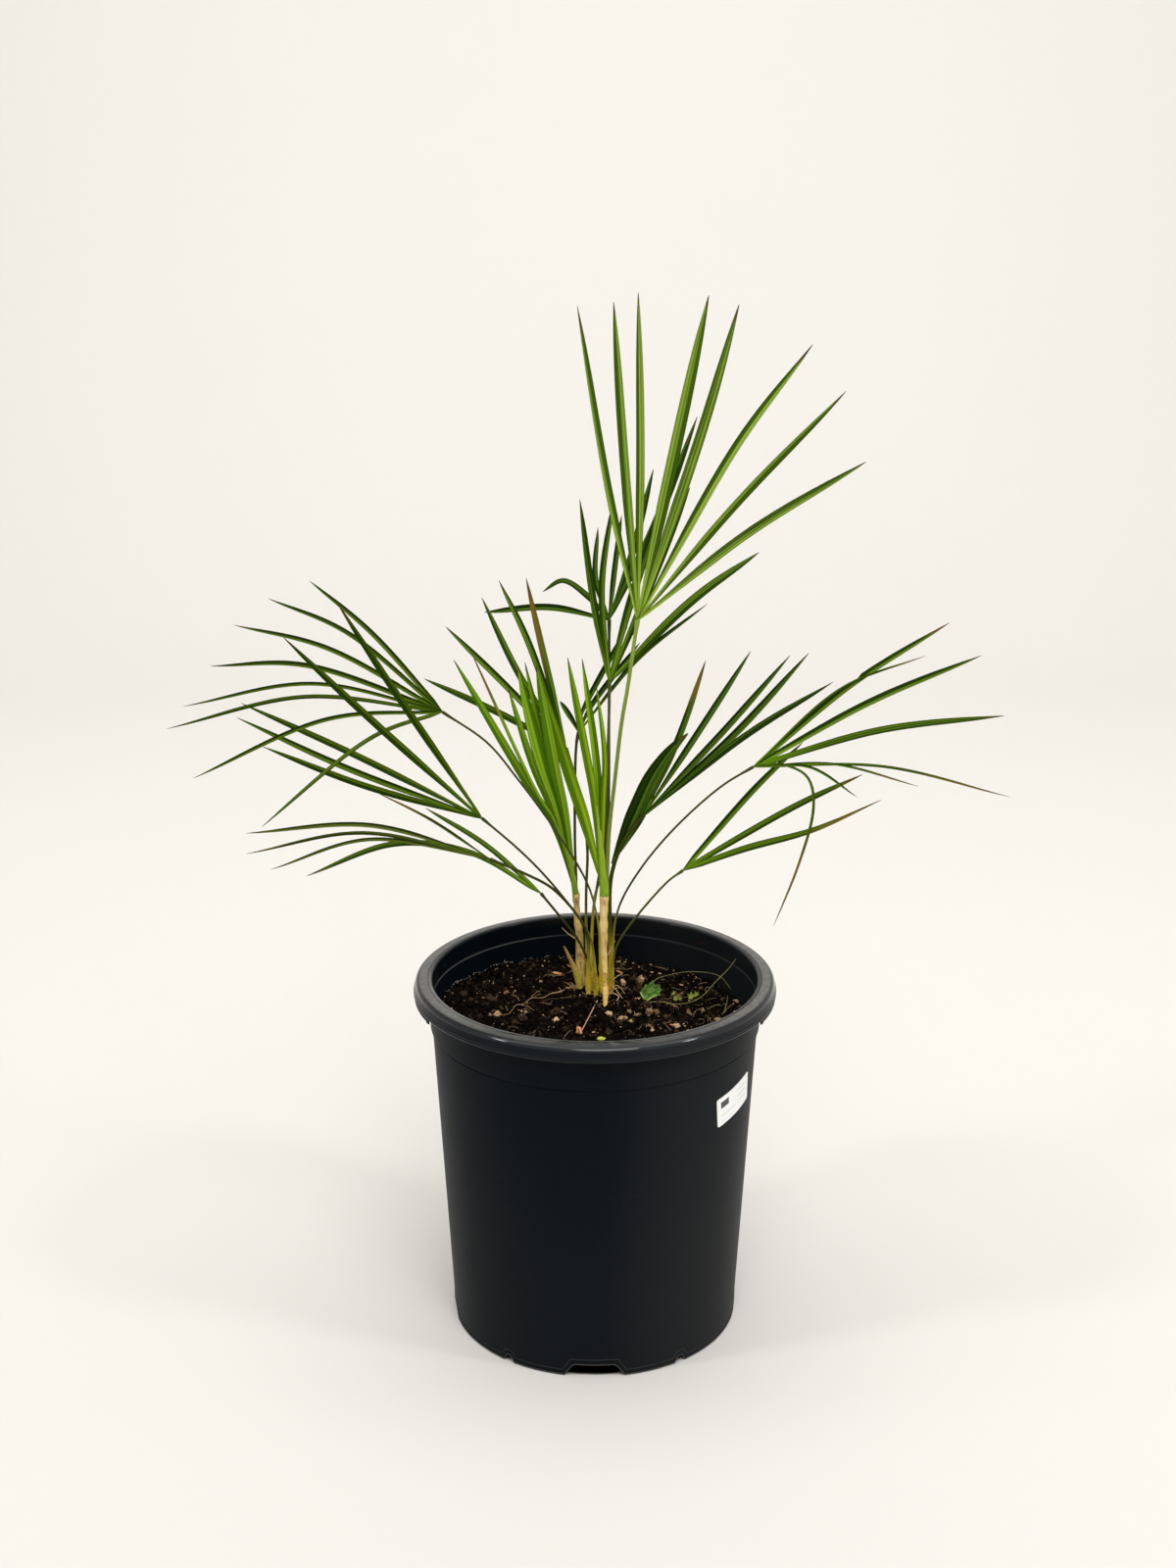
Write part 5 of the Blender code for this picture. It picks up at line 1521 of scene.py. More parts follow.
    def add_lump(self, maker: MeshMaker, draw: random.Random, place: Vector, size: float, tone: float,
                 detail: int, rough: float, slot: int = 0) -> None:
        """Add one lump that sits in the surface.

        Args:
            maker: Where it is added.
            draw: The random draw.
            place: Its place; the height is ignored.
            size: Its half size.
            tone: Its tone.
            detail: The detail of its ball.
            rough: How uneven it is.
            slot: Its material's number.
        """
        turn = Matrix.Rotation(draw.random() * math.tau, 3, "Z")
        turn = turn @ Matrix.Rotation(draw.uniform(-0.6, 0.6), 3, "X")
        half = (size, size * draw.uniform(0.6, 0.95), size * draw.uniform(0.5, 0.85))
        centre = self.on_surface(place.x, place.y, size * draw.uniform(0.05, 0.4))
        maker.lump(centre, half, turn, tone, detail, rough, slot)

    def build_crumbs(self, material: Material) -> None:
        """Scatter the small dark crumbs, and a pale dusting along the wall."""
        draw = random.Random(SEED + self.seed)
        maker = MeshMaker()
        for _ in range(self.crumbs):
            place = self.spot(draw, SOIL_RADIUS - 1.6)
            size = 0.45 + 1.3 * draw.random() ** 3.0
            tone = 0.20 + 0.48 * draw.random() ** 2.0
            if draw.random() < self.pale_crumbs:
                tone = draw.uniform(0.68, 1.0)
                size = min(size, 0.95)
            self.add_lump(maker, draw, place, size, tone, 1 if size < 1.1 else 2, 0.55)
        for _ in range(self.wall_crumbs):
            angle = draw.random() * math.tau
            place = polar(SOIL_RADIUS - draw.uniform(0.4, 1.8), angle)
            size = draw.uniform(0.3, 0.6)
            self.add_lump(maker, draw, place, size, draw.uniform(0.6, 1.0), 1, 0.4)
        maker.piece("soil_crumbs", [material])

    def build_pebbles(self, material: Material) -> None:
        """Scatter the larger lumps and the tan pebbles."""
        draw = random.Random(SEED + self.seed + 1)
        maker = MeshMaker()
        for _ in range(self.pebbles):
            place = self.spot(draw, SOIL_RADIUS - 5.0)
            tan = draw.random() < self.tan_pebbles
            size = draw.uniform(1.0, 1.8) if tan else draw.uniform(1.6, 3.4)
            tone = draw.uniform(0.72, 0.98) if tan else draw.uniform(0.22, 0.60)
            if not tan and (place - Vector(self.clearing)).length < self.clearing_radius:
                size *= 0.5
            self.add_lump(maker, draw, place, size, tone, 3, 0.9)
        for x, y, size, tone in self.placed:
            self.add_lump(maker, draw, Vector((x, y, 0.0)), size, tone, 3, 0.9)
        maker.piece("soil_pebbles", [material])

    def build_threads(self, peat: Material) -> None:
        """Lay fine pale roots and fibres, the few chips of bark and other small bits."""
        draw = random.Random(SEED + self.seed + 2)
        finishes = (
            BarkFinish("thread", tint(190, 164, 128), tint(96, 72, 50), tint(150, 124, 92)),
            BarkFinish("bark_chip", tint(206, 140, 92), tint(84, 46, 26), tint(220, 166, 116)),
            BarkFinish("green_bit", tint(206, 212, 96), tint(120, 134, 34), tint(226, 228, 140)),
            BarkFinish("wall_dust", tint(160, 154, 144), tint(100, 96, 88), tint(206, 200, 190)))
        maker = MeshMaker()
        for _ in range(self.threads):
            start = self.spot(draw, SOIL_RADIUS - 9.0)
            heading = draw.random() * math.tau
            length = draw.uniform(4.0, 15.0)
            radius = draw.uniform(0.10, 0.24)
            path, radii = ground_root(start, heading, length, radius, draw.uniform(0.3, 1.6), draw)
            maker.rod(path, radii, sides=5, tone=draw.random())
        for x, y, length, width, turn in self.chips:
            tilt = Matrix.Rotation(math.radians(turn), 3, "Z") @ Matrix.Rotation(0.35, 3, "Y")
            size = (length, width, width * 0.45)
            maker.lump(self.on_surface(x, y, 1.4), size, tilt, draw.random(), 3, 0.45, slot=1)
        self.add_bits(maker)
        self.add_dust(maker, draw)
        maker.piece("soil_threads", [finish.material() for finish in finishes] + [peat])

    def add_bits(self, maker: MeshMaker) -> None:
        """Add the upright chip with its dark groove, and the green bit."""
        lean = Matrix.Rotation(math.radians(-12), 3, "Y") @ Matrix.Rotation(math.radians(-38), 3, "X")
        chip = self.on_surface(-12.0, -38.0, 3.0)
        maker.lump(chip, (2.1, 0.9, 3.6), lean, 0.9, 3, 0.5, slot=1)
        maker.lump(chip - Vector((0.0, 0.7, 0.0)), (0.8, 0.7, 2.4), lean, 0.1, 2, 0.4, slot=1)
        maker.lump(self.on_surface(5.0, -48.0, 1.2), (3.3, 2.2, 1.5), Matrix.Identity(3), 0.8, 3, 0.3, slot=2)

    def add_dust(self, maker: MeshMaker, draw: random.Random) -> None:
        """Add the crumbs round the stems' foot and the pale specks along the back of the wall."""
        for _ in range(self.foot_crumbs):
            angle = draw.random() * math.tau
            spread = draw.uniform(0.86, 1.15)
            place = Vector((16.5 * spread * math.cos(angle), 48.0 + 9.5 * spread * math.sin(angle), 0.0))
            size = draw.uniform(0.5, 1.3)
            self.add_lump(maker, draw, place, size, draw.uniform(0.1, 0.6), 1, 0.5, slot=4)
        for _ in range(self.wall_specks):
            angle = draw.uniform(1.70, 2.86)
            place = polar(SOIL_RADIUS + draw.uniform(0.3, 1.0), angle)
            size = draw.uniform(0.25, 0.6)
            place.z = self.surface_height(place.x * 0.98, place.y * 0.98) + draw.uniform(0.5, 1.6)
            maker.lump(place, (size, size, size * 0.8), Matrix.Identity(3), draw.random(), 1, 0.3, slot=3)

    def build(self) -> None:
        """Build the soil."""
        material = SoilFinish("peat").material()
        self.build_surface(material)
        self.build_crumbs(material)
        self.build_pebbles(material)
        self.build_threads(material)


@dataclass
class SoilStrands:
    """The bare forked root and the pale stick that lie on the soil."""

    root: tuple[Pair, ...] = ((-71, -6), (-60, 15), (-50, 30), (-39, 33), (-29, 39), (-23, 46))
    forks: tuple[tuple[tuple[Pair, ...], float], ...] = (
        (((-50, 30), (-49, 38), (-46, 45)), 0.28), (((-60, 15), (-52, 12), (-47, 4)), 0.25),
        (((-29, 39), (-27, 46), (-29, 52)), 0.35), (((-23, 46), (-18, 50), (-14, 52)), 0.5))
    knots: tuple[tuple[float, float, float], ...] = ((-22, 47, 1.0), (-20, 49, 0.8))
    stick: tuple[Pair, ...] = ((2, 25), (-2, 5), (-7, -18), (-11, -42))
    lift: float = 2.1

    def laid(self, ground: tuple[Pair, ...]) -> Path:
        """Return a smooth line that lies on the soil."""
        path = smooth_path([(x, y, 0.0) for x, y in ground], 8)
        return [Vector((p.x, p.y, soil_height(p.x, p.y) + self.lift)) for p in path]

    def build_root(self) -> None:
        """Build the forked root and the small knot where it meets the stems' foot."""
        skin = BarkFinish("root_skin", tint(186, 156, 116), tint(118, 90, 60), tint(202, 176, 134))
        maker = MeshMaker()
        path = self.laid(self.root)
        radii = [0.20 + 0.15 * (step / len(path)) + 0.04 * math.sin(step * 0.9) for step in range(len(path))]
        maker.rod(path, radii, sides=10)
        for ground, radius in self.forks:
            twig = self.laid(ground)
            maker.rod(twig, thinning(twig, radius, radius * 0.5), sides=8)
        for x, y, size in self.knots:
            centre = Vector((x, y, soil_height(x, y) + 2.4))
            maker.lump(centre, (size, size * 0.8, size * 0.7), Matrix.Identity(3), 0.8, 3, 0.8)
        maker.piece("root_strand_fine", [skin.material()], "root_strand")

    def build_stick(self) -> None:
        """Build the straight stick, which rests on the soil at both ends."""
        wood = BarkFinish("stick_wood", tint(238, 200, 170), tint(176, 128, 98), tint(246, 222, 200))
        maker = MeshMaker()
        ends = self.laid(self.stick)
        path = resample([ends[0] + Vector((0.0, 0.0, 0.8)), ends[-1] + Vector((0.0, 0.0, 0.6))], 30)
        maker.rod(path, thinning(path, 0.42, 0.17), sides=10)
        maker.piece("soil_stick_fine", [wood.material()], "soil_stick")

    def build(self) -> None:
        """Build both strands."""
        self.build_root()
        self.build_stick()


# Seedling


@dataclass
class Seedling:
    """The lobed leaf on its stalk, small half-opened leaves and the long thin tendrils."""

    foot: Pair = (41.0, 23.0)
    leaf_base: Point = (40.6, 24.6, 252.2)
    lean: float = 48.0
    rows: int = 8
    rim_points: int = 120
    palmate: tuple[Pair, ...] = (
        (0.0, 0.0), (-4.4, 7.3), (-3.7, 9.6), (-1.8, 11.4), (-0.6, 14.6), (1.6, 13.6), (2.7, 15.2),
        (5.7, 17.7), (6.1, 15.2), (7.0, 13.2), (8.8, 13.6), (10.9, 14.3), (10.6, 11.9), (12.4, 9.6),
        (10.4, 7.4), (11.6, 5.2), (8.6, 5.2), (6.2, 3.8), (3.8, 3.2), (1.6, 1.5))
    curled: tuple[Pair, ...] = (
        (0.0, 0.0), (-3.2, 1.6), (-2.4, 3.8), (-4.0, 6.4), (-1.2, 5.4), (0.6, 8.0), (1.6, 5.0),
        (4.2, 6.2), (3.0, 3.0))
    small_leaves: tuple[tuple[Point, float, float], ...] = (
        ((64.0, 22.5, 253.0), 0.80, -20), ((67.6, 23.0, 253.2), 0.66, 50), ((61.6, 25.0, 257.0), 0.62, -60),
        ((76.2, 23.5, 254.0), 0.86, 10), ((79.0, 24.0, 255.6), 0.80, -55))
    folds: tuple[tuple[Pair, ...], ...] = (
        ((-4.5, 7.4), (-3.0, 4.0), (0.0, -0.2)), ((0.0, -0.2), (3.8, 2.7), (8.4, 4.9)))
    creeping: tuple[Pair, ...] = ((43, 22), (53, 22), (64, 20.5), (76, 20))
    climbing: tuple[Point, ...] = ((86, 23, 259), (95, 31, 266), (106, 44, 272), (112.5, 52, 277.5))
    arc: tuple[Point, ...] = (
        (44, 38, 261), (50, 46, 263), (58, 48, 265), (73, 48, 268), (91, 46, 268), (101, 43, 265),
        (108, 36, 258))
    twigs: tuple[tuple[Point, Point], ...] = (
        ((101, 5, 252), (104, 14, 262)), ((99, -2, 253), (108, 4, 259)), ((88, 8, 253), (99, 6, 257)))

    def upward(self) -> Vector:
        """Return the direction of a blade's length before it is turned."""
        return Vector((0.0, math.cos(math.radians(self.lean)), math.sin(math.radians(self.lean))))

    def add_blade(self, maker: MeshMaker, outline: tuple[Pair, ...], base: Point, size: float, turn: float,
                  cup: float, tone: float) -> None:
        """Add a toothed blade that leans back from its base.

        Args:
            maker: Where it is added.
            outline: Its outline from the base round to the base, seen from the front.
            base: The place of its base.
            size: The scale of its outline.
            turn: Its turn about the upright axis in degrees.
            cup: How far its rim stands proud of its middle, as a share of its reach.
            tone: Its tone.
        """
        flat = [Vector((x * size, z * size, 0.0)) for x, z in outline]
        rim = resample(flat + [flat[0]], self.rim_points + 1)[:-1]
        middle = sum(rim, Vector()) / len(rim)
        spin = Matrix.Rotation(math.radians(turn), 3, "Z")
        right = spin @ Vector((1.0, 0.0, 0.0))
        up = spin @ self.upward()
        out = right.cross(up)
        layers = []
        for side in (0.16, -0.16):
            for row in range(self.rows):
                share = row / (self.rows - 1)
                ring = []
                for number, corner in enumerate(rim):
                    offset = corner - middle
                    place = middle + offset * share
                    wave = 0.08 * math.sin(number * 0.31) * share
                    rise = (cup * share * share + wave) * offset.length + side * (1.0 - 0.6 * share)
                    across = share if number < 10 or number > 84 else share * 0.7
                    point = Vector(base) + right * place.x + up * place.y + out * rise
                    ring.append(maker.vertex(point, 0.3 + 0.5 * share, across, tone))
                layers.append(ring)
        rings = layers[:self.rows] + layers[self.rows:][::-1]
        for near, far in zip(rings, rings[1:]):
            maker.band(near, far)

    def build_leaf(self) -> None:
        """Build the lobed leaf with its stalk and its two folded edges."""
        green = LeafFinish("seedling_green", tint(62, 94, 32), tint(34, 62, 18), tint(84, 112, 44),
                           tint(104, 134, 66), dry=tint(150, 160, 80), edge=tint(112, 142, 66))
        stalk = StalkFinish("seedling_stalk", tint(176, 196, 124), tint(164, 184, 104), tint(172, 184, 96))
        maker = MeshMaker()
        self.add_blade(maker, self.palmate, self.leaf_base, 1.0, 0.0, 0.10, 0.6)
        level = soil_height(*self.foot)
        path = smooth_path([(*self.foot, level - 5), (*self.foot, level), self.leaf_base], 8)
        maker.rod(path, thinning(path, 1.05, 0.35), sides=12, slot=1)
        for flat in self.folds:
            edge = [Vector(self.leaf_base) + Vector((x, -0.3, 0.5)) + self.upward() * z for x, z in flat]
            fold = smooth_path(edge, 8)
            radii = [0.62 - 0.3 * abs(step / len(fold) - 0.5) for step in range(len(fold))]
            maker.rod(fold, radii, sides=8, slot=1)
        materials = [green.material(), stalk.material()]
        maker.piece("seedling_leaf", materials, "weed_leaf", SEEDLING_CREASE)

    def build_small_leaves(self) -> None:
        """Build the curled young leaves on the tendril."""
        fresh = LeafFinish("seedling_fresh", tint(146, 150, 60), tint(78, 86, 26), tint(168, 172, 84),
                           tint(190, 194, 110), dry=tint(160, 160, 80), edge=tint(120, 120, 50))
        maker = MeshMaker()
        for base, size, turn in self.small_leaves:
            self.add_blade(maker, self.curled, base, size, turn, 0.5, 0.5)
        maker.piece("seedling_small_leaves", [fresh.material()], crease=SEEDLING_CREASE)

    def build_tendrils(self) -> None:
        """Build the tendril that leans on the wall, the arc behind it and three loose twigs."""
        brown = BarkFinish("tendril_skin", tint(150, 146, 92), tint(92, 84, 48), tint(120, 128, 66))
        maker = MeshMaker()
        ground = [(x, y, soil_height(x, y) + 2.0) for x, y in self.creeping]
        path = smooth_path(ground + list(self.climbing), 8)
        maker.rod(path, thinning(path, 0.36, 0.12), sides=8)
        arc = smooth_path(self.arc, 8)
        maker.rod(arc, thinning(arc, 0.27, 0.1), sides=8)
        for base, tip in self.twigs:
            middle = (Vector(base) + Vector(tip)) / 2 + Vector((1.0, 2.0, 1.0))
            twig = smooth_path([base, middle, tip], 6)
            maker.rod(twig, thinning(twig, 0.3, 0.14), sides=6)
        maker.piece("seedling_tendrils", [brown.material()], "weed_tendril")

    def build(self) -> None:
        """Build the seedling."""
        self.build_leaf()
        self.build_small_leaves()
        self.build_tendrils()


# Pot and sticker


@dataclass
class Pot:
    """The moulded pot: a turned wall with a lip, a collar, grip skirts and drain notches."""

    height: float = 286.0
    lip_bottom: float = 274.0
    collar_bottom: float = 247.0
    collar_proud: float = 1.5
    wall_top: float = 126.2
    wall_base: float = 112.3
    thickness: float = 2.0
    step_height: float = 270.0
    step_proud: float = 0.6
    segments: int = 288
    large_angles: tuple[float, ...] = (0.0, 94.0, 180.0, 274.0)
    small_angles: tuple[float, ...] = (36.0, 144.0, 216.0, 324.0)
    large_notch: tuple[float, float, float] = (46.0, 33.0, 11.0)
    small_notch: tuple[float, float, float] = (10.5, 3.0, 6.5)
    cutter_radii: Pair = (104.0, 122.0)
    line_height: float = 5.5
    line_offset: float = 4.4
    grip_middles: tuple[float, ...] = (90.0, 270.0)
    grip_span: float = 53.0
    grip_radii: Pair = (138.4, 139.55)
    grip_drop: float = 2.6

    def wall(self, height: float) -> float:
        """Return the wall's outer radius at a height."""
        return self.wall_base + (self.wall_top - self.wall_base) * height / self.collar_bottom

    def notches(self) -> list[tuple[tuple[float, float, float], float]]:
        """Return every notch's size and angle."""
        large = [(self.large_notch, angle) for angle in self.large_angles]
        return large + [(self.small_notch, angle) for angle in self.small_angles]

    def profile(self) -> list[tuple[float, float, float]]:
        """Return the profile's corners, each with its radius, height and fillet."""
        collar = self.wall(self.collar_bottom) + self.collar_proud
        step = self.wall(self.step_height) - self.thickness
        inner_low = self.wall(2.0) - self.thickness
        inside = [(0.0, 2.0, 0.0), (inner_low, 2.0, 0.8),
                  (step - self.step_proud, self.step_height - 1.0, 0.5), (step, self.step_height + 0.5, 0.5),
                  (step, self.height - 1.2, 0.6), (step + 1.2, self.height, 0.7)]
        lip = [(135.4, 285.6, 2.0), (138.5, 283.9, 1.4), (139.0, 281.4, 0.9), (139.9, 277.8, 0.3),
               (140.35, 277.0, 0.4), (139.75, 276.1, 0.25), (140.25, 275.2, 0.4),
               (139.7, self.lip_bottom, 0.3), (138.1, self.lip_bottom, 0.3), (136.4, 282.2, 0.8),
               (129.6, 282.2, 0.8), (129.0, 272.0, 0.6)]
        wall = [(collar, self.collar_bottom + 0.9, 0.5), (collar - 0.25, self.collar_bottom + 0.1, 0.15),
                (self.wall(246.6) - 0.55, 246.6, 0.3), (self.wall(245.4) - 0.5, 245.4, 0.4),
                (self.wall(244.8), 244.8, 0.3), (self.wall(3.0), 3.0, 1.5), (self.wall_base - 0.5, 0.9, 0.5),
                (self.wall_base - 2.4, 0.0, 0.4), (0.0, 0.0, 0.0)]
        return inside + lip + wall

    def rounded_profile(self) -> Path:
        """Return the profile's points, which hold radius and height, with every corner rounded."""
        corners = self.profile()
        points = []
        for before, corner, after in zip(corners, corners[1:], corners[2:]):
            here = Vector(corner[:2])
            back = Vector(before[:2]) - here
            ahead = Vector(after[:2]) - here
            reach = min(corner[2], back.length * 0.45, ahead.length * 0.45)
            points += rounded(here + back.normalized() * reach, here, here + ahead.normalized() * reach, 4)
        return points

    def turned(self) -> bpy.types.Object:
        """Return the turned body, before its notches are cut."""
        maker = MeshMaker()
        angles = [math.tau * segment / self.segments for segment in range(self.segments)]
        points = self.rounded_profile()
        maker.skin([[maker.vertex(polar(point.x, angle, point.y)) for angle in angles] for point in points])
        return add_object("pot_wall", maker.mesh("pot_wall"))

    @staticmethod
    def ring_block(maker: MeshMaker, radii: Pair, heights: Pair, start: float, end: float) -> None:
        """Add a curved block between two radii, heights and angles in degrees from the front.

        Args:
            maker: Where it is added.
            radii: Its inner and outer radius.
            heights: Its bottom and top.
            start: The angle where it starts.
            end: The angle where it ends.
        """
        (inner, outer), (bottom, top) = radii, heights
        steps = 40
        rings = []
        for step in range(steps + 1):
            angle = math.radians(start + (end - start) * step / steps)
            corners = ((inner, bottom), (outer, bottom), (outer, top), (inner, top))
            rings.append([maker.vertex(from_front(radius, angle, height)) for radius, height in corners])
        maker.skin(rings)

    def notch_cutter(self) -> bpy.types.Object:
        """Return one cutter with the shape of every drain notch."""
        maker = MeshMaker()
        for size, angle in self.notches():
            turn = Matrix.Rotation(math.radians(angle), 3, "Z")
            outline = self.notch_outline(*size)
            rings = []
            for radius in self.cutter_radii:
                rings.append([maker.vertex(turn @ Vector((x, -radius, z))) for x, z in outline])
            maker.skin(rings)
        return add_object("notch_cutter", maker.mesh("notch_cutter"))

    @staticmethod
    def notch_outline(bottom: float, top: float, height: float) -> list[Pair]:
        """Return a notch's outline, from its lower left over its rounded corners to its lower right."""
        slope = (bottom - top) / 2 / height
        high = Vector((top / 2, height))
        corner = min(2.6, top / 3)
        flank = high + Vector((slope * corner, -corner))
        curve = rounded(flank, high, high - Vector((corner, 0.0)), 6)
        right = [(bottom / 2 + slope, -1.0)] + [(point.x, point.y) for point in curve]
        return [(-x, y) for x, y in right] + right[::-1]

    def on_wall(self, across: float, level: float, angle: float) -> Vector:
        """Return the place on the wall's skin at a distance across from an angle, and at a height."""
        radius = self.wall(level)
        place = Vector((across, -math.sqrt(radius * radius - across * across), level))
        return Matrix.Rotation(math.radians(angle), 3, "Z") @ place

    def line_level(self, angle: float) -> float:
        """Return the height of the faint line that runs round the foot and up over each notch."""
        level = self.line_height
        for (bottom, top, height), middle in self.notches():
            turn = math.radians(angle - middle)
            if math.cos(turn) > 0.0:
                reach = bottom / 2 + self.line_offset - abs(self.wall_base * math.sin(turn))
                rise = reach * 2.0 * height / (bottom - top)
                level = max(level, min(height + self.line_offset, rise))
        return level

    def foot_edges(self) -> list[Path]:
        """Return the lines along the foot's lower edge, one for each stretch between two notches."""
        stops = sorted((angle, size[0] / 2 + 0.6) for size, angle in self.notches())
        lines = []
        for (angle, half), (following, other) in zip(stops, stops[1:] + [(stops[0][0] + 360.0, stops[0][1])]):
            start = angle + math.degrees(math.asin(half / self.wall_base))
            end = following - math.degrees(math.asin(other / self.wall_base))
            lines.append([self.on_wall(0.0, 1.5, start + (end - start) * step / 40) for step in range(41)])
        return lines

    def build_trims(self) -> None:
        """Build the thin raised edges of the notches and the foot, and the faint line above them, in a
        lighter grey that paints their highlight.
        """
        maker = MeshMaker()
        for size, angle in self.notches():
            outline = [Vector((x, max(0.7, z), 0.0)) for x, z in self.notch_outline(*size)]
            path = [self.on_wall(point.x, point.y, angle) for point in resample(outline, 70)]
            maker.rod(path, [0.45] * len(path), sides=8)
        path = [self.on_wall(0.0, self.line_level(step / 2), step / 2) for step in range(721)]
        maker.rod(path, [0.2] * len(path), sides=6)
        for path in self.foot_edges():
            maker.rod(path, [0.4] * len(path), sides=8)
        # The trims' lighter grey paints the highlight along the edges.
        edge = PlasticFinish("pot_edge_highlight", base=tint(58, 58, 56)).material()
        maker.piece("notch_trims", [edge], crease=PLASTIC_CREASE)

    def build_grips(self, material: Material) -> None:
        """Build the thin skirts that hang from the lip, with a small tooth at each end."""
        maker = MeshMaker()
        tooth = self.grip_drop + 0.9
        for middle in self.grip_middles:
            for start, span, drop in ((-0.5, 1.0, self.grip_drop), (-0.5, 0.03, tooth), (0.47, 0.03, tooth)):
                first = middle + start * self.grip_span
                heights = (self.lip_bottom - drop, self.lip_bottom + 1.2)
                self.ring_block(maker, self.grip_radii, heights, first, first + span * self.grip_span)
        maker.piece("grip_skirts", [material], crease=PLASTIC_CREASE)

    def cut_notches(self, body: bpy.types.Object) -> bpy.types.Mesh:
        """Cut the drain notches into the turned body.

        Args:
            body: The turned body.

        Returns:
            Its new mesh.
        """
        cutter = self.notch_cutter()
        cut = body.modifiers.new("notches", "BOOLEAN")
        cut.operation = "DIFFERENCE"
        cut.object = cutter
        cut.solver = "MANIFOLD"
        graph = bpy.context.evaluated_depsgraph_get()
        body.data = bpy.data.meshes.new_from_object(body.evaluated_get(graph))
        body.modifiers.clear()
        bpy.data.objects.remove(cutter, do_unlink=True)
        return body.data

    def build(self) -> None:
        """Build the pot with its notches, skirts and trims."""
        body = self.turned()
        mesh = self.cut_notches(body)
        mesh.shade_smooth()
        mesh.set_sharp_from_angle(angle=math.radians(PLASTIC_CREASE))
        material = PlasticFinish("pot_plastic").material()
        mesh.materials.clear()
        mesh.materials.append(material)
        hand_over(body, "pot")
        self.build_grips(material)
        self.build_trims()


@dataclass
class Sticker:
    """The blank white sticker, bent round the wall with its right end turned up."""

    pot: Pot
    angle: float = 58.3
    middle: float = 210.3
    width: float = 47.0
    height: float = 24.0
    tilt: float = 8.0
    corner: float = 1.8
    proud: float = 0.3
    thickness: float = 0.3
    columns: int = 60
    rows: int = 14

    def edge(self, across: float) -> float:
        """Return half the sticker's height at a place across it."""
        beyond = max(0.0, abs(across) - (self.width / 2 - self.corner))
        drop = self.corner - math.sqrt(max(0.0, self.corner ** 2 - beyond ** 2))
        return self.height / 2 - drop

    def on_wall(self, flat: Vector, proud: float) -> Vector:
        """Return the place of a point of the flat sticker once it is stuck to the wall."""
        level = self.middle + flat.y
        angle = math.radians(self.angle) + flat.x / self.pot.wall(self.middle)
        return from_front(self.pot.wall(level) + proud, angle, level)

    def build(self) -> None:
        """Build the sticker."""
        maker = MeshMaker()
        turn = Matrix.Rotation(math.radians(self.tilt), 2)
        rings = []
        for column in range(self.columns + 1):
            share = 0.5 - 0.5 * math.cos(math.pi * column / self.columns)
            across = (share - 0.5) * self.width
            half = self.edge(across)
            outer, inner = [], []
            for row in range(self.rows + 1):
                up = half * (2.0 * row / self.rows - 1.0)
                flat = turn @ Vector((across, up))
                for line, proud in ((outer, self.proud + self.thickness), (inner, self.proud - 0.25)):
                    line.append(maker.vertex(self.on_wall(flat, proud), share, up * 2.0 / self.height))
            rings.append(outer + inner[::-1])
        maker.skin(rings)
        paper = PaperFinish("label_paper").material()
        maker.piece("pot_sticker", [paper], "pot_label", PLASTIC_CREASE)


# Studio


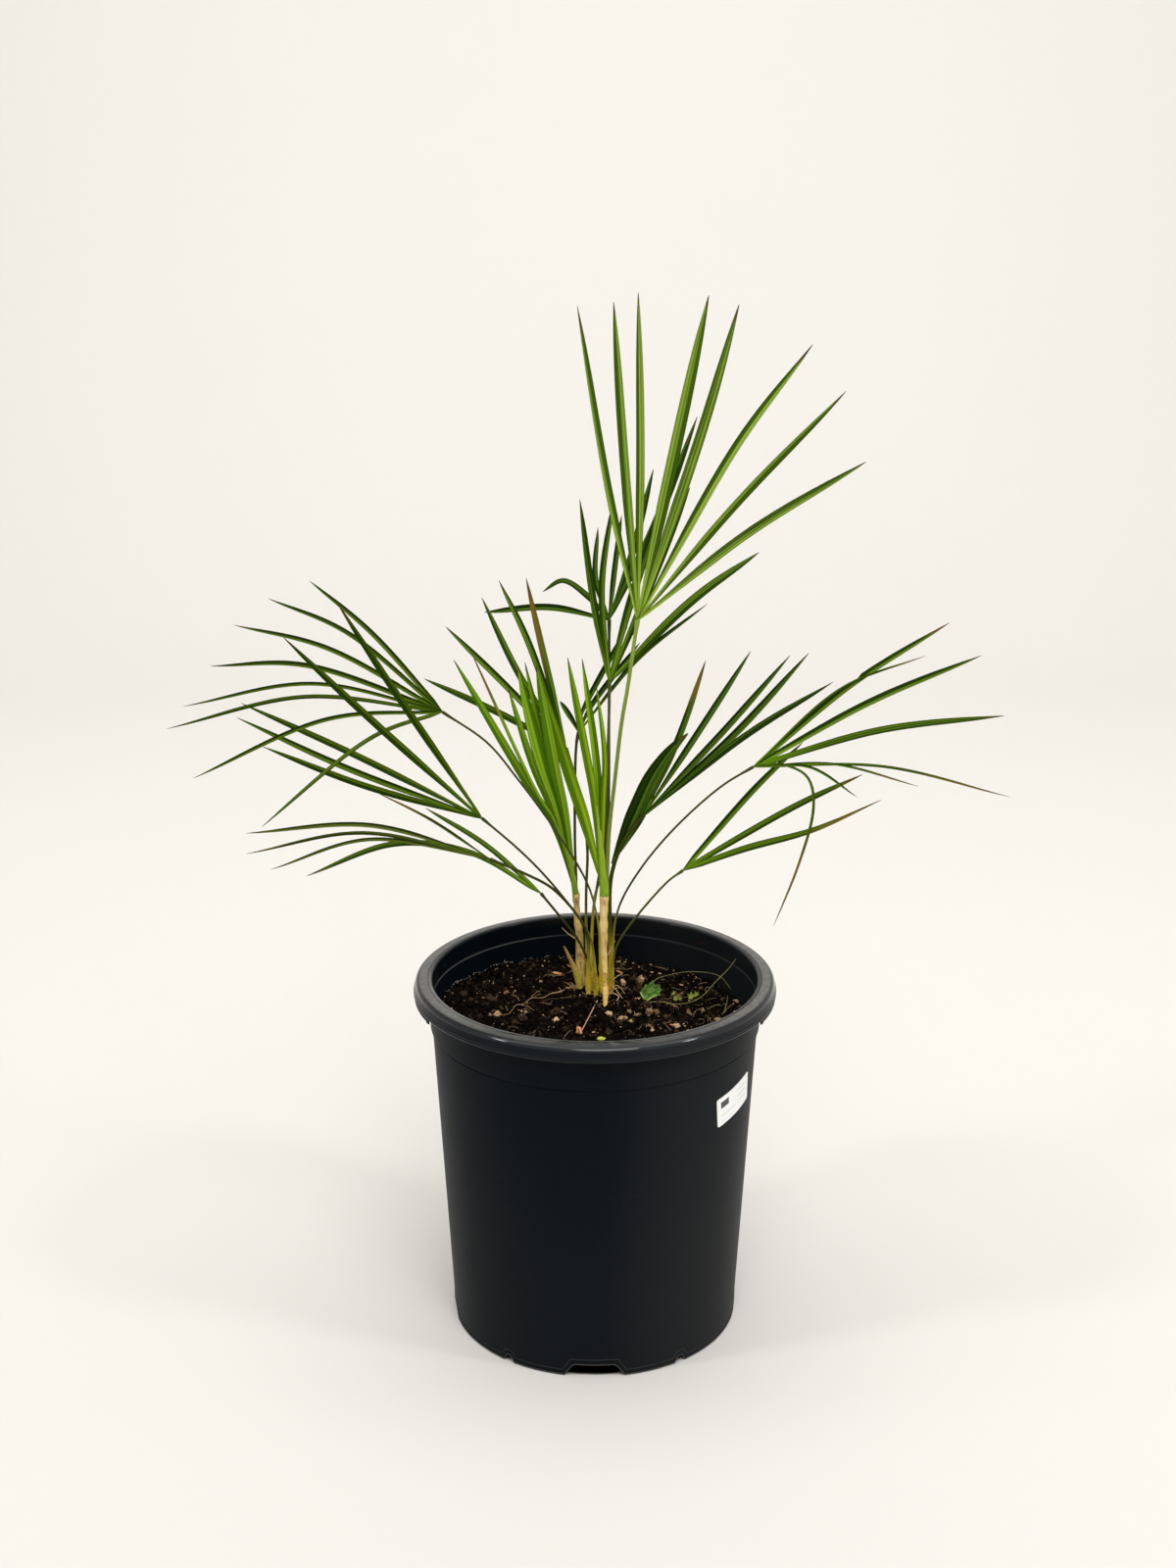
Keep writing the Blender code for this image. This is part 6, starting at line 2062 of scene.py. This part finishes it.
@dataclass
class Studio:
    """A pale sweep, four soft boxes and the camera."""

    camera_place: Point = (0.0, -1.5658, 0.9294)
    camera_pitch: float = 17.358
    camera_yaw: float = 0.0034
    lens: float = 50.0
    sky: Color = (1.0, 0.99, 0.97)
    sky_strength: float = 0.50
    box_power: float = 30.0
    box_size: float = 0.5
    front_power: float = 98.0
    front_size: float = 2.2
    wall_power: float = 80.0
    wall_size: float = 3.6
    half_width: float = 6.0
    bend_start: float = 1.9
    bend_radius: float = 1.6
    bend_steps: int = 24
    floor: FloorFinish = FloorFinish("sweep")

    def build_sweep(self) -> None:
        """Build the floor, which curves up to the backdrop."""
        bend = [math.radians(90.0 * step / self.bend_steps) for step in range(1, self.bend_steps + 1)]
        start, radius = self.bend_start, self.bend_radius
        profile = [(-self.half_width, 0.0), (start, 0.0)]
        profile += [(start + radius * math.sin(angle), radius - radius * math.cos(angle)) for angle in bend]
        profile.append((start + radius, self.half_width))
        vertices = [(x, y, z) for y, z in profile for x in (-self.half_width, self.half_width)]
        faces = [(2 * k, 2 * k + 1, 2 * k + 3, 2 * k + 2) for k in range(len(profile) - 1)]
        mesh = bpy.data.meshes.new("sweep")
        mesh.from_pydata(vertices, [], faces)
        mesh.shade_smooth()
        mesh.materials.append(self.floor.material())
        add_object("sweep", mesh)

    @staticmethod
    def light(name: str, place: Point, target: Point, size: float, power: float) -> None:
        """Add one square soft light.

        Args:
            name: Its name.
            place: Where it stands.
            target: Where it points.
            size: Its edge.
            power: Its power.
        """
        data = bpy.data.lights.new(name, "AREA")
        data.shape = "SQUARE"
        data.size = size
        data.energy = power
        item = add_object(name, data)
        item.location = place
        item.rotation_euler = (Vector(place) - Vector(target)).to_track_quat("Z", "Y").to_euler()

    def build_lights(self) -> None:
        """Add the lights and the even surround."""
        for side in (-1.0, 1.0):
            self.light("soft_box", (3.0 * side, -1.3, 2.7), (0.0, 0.0, 0.25), self.box_size, self.box_power)
        self.light("front_box", (0.4, -2.4, 3.6), (0.0, 0.0, 0.3), self.front_size, self.front_power)
        self.light("wall_box", (0.0, 0.9, 3.6), (0.0, 3.5, 1.7), self.wall_size, self.wall_power)
        world = bpy.data.worlds.new("surround")
        world.use_nodes = True
        background = world.node_tree.nodes["Background"]
        background.inputs["Color"].default_value = (*self.sky, 1.0)
        background.inputs["Strength"].default_value = self.sky_strength
        bpy.context.scene.world = world
        bpy.context.scene.view_settings.view_transform = "Standard"

    def build_camera(self) -> None:
        """Add the camera at the photograph's viewing angle."""
        data = bpy.data.cameras.new("camera")
        data.lens = self.lens
        data.sensor_width = 36.0
        data.sensor_fit = "AUTO"
        item = add_object("camera", data)
        item.location = self.camera_place
        item.rotation_euler = (math.radians(90.0 - self.camera_pitch), 0.0, self.camera_yaw)
        bpy.context.scene.camera = item

    def build(self) -> None:
        """Build the studio."""
        self.build_camera()
        self.build_sweep()
        self.build_lights()


def main() -> None:
    """Build the scene and report each piece."""
    logging.basicConfig(level=logging.INFO, format="%(message)s")
    pot = Pot()
    assemblies = (Studio(), pot, Sticker(pot), Soil(), SoilStrands(), *STEMS, StemFoot(), Twigs(), Seedling(),
                  Canopy())
    for assembly in assemblies:
        assembly.build()
        LOG.info("built: %s", type(assembly).__name__)


if __name__ == "__main__":
    main()
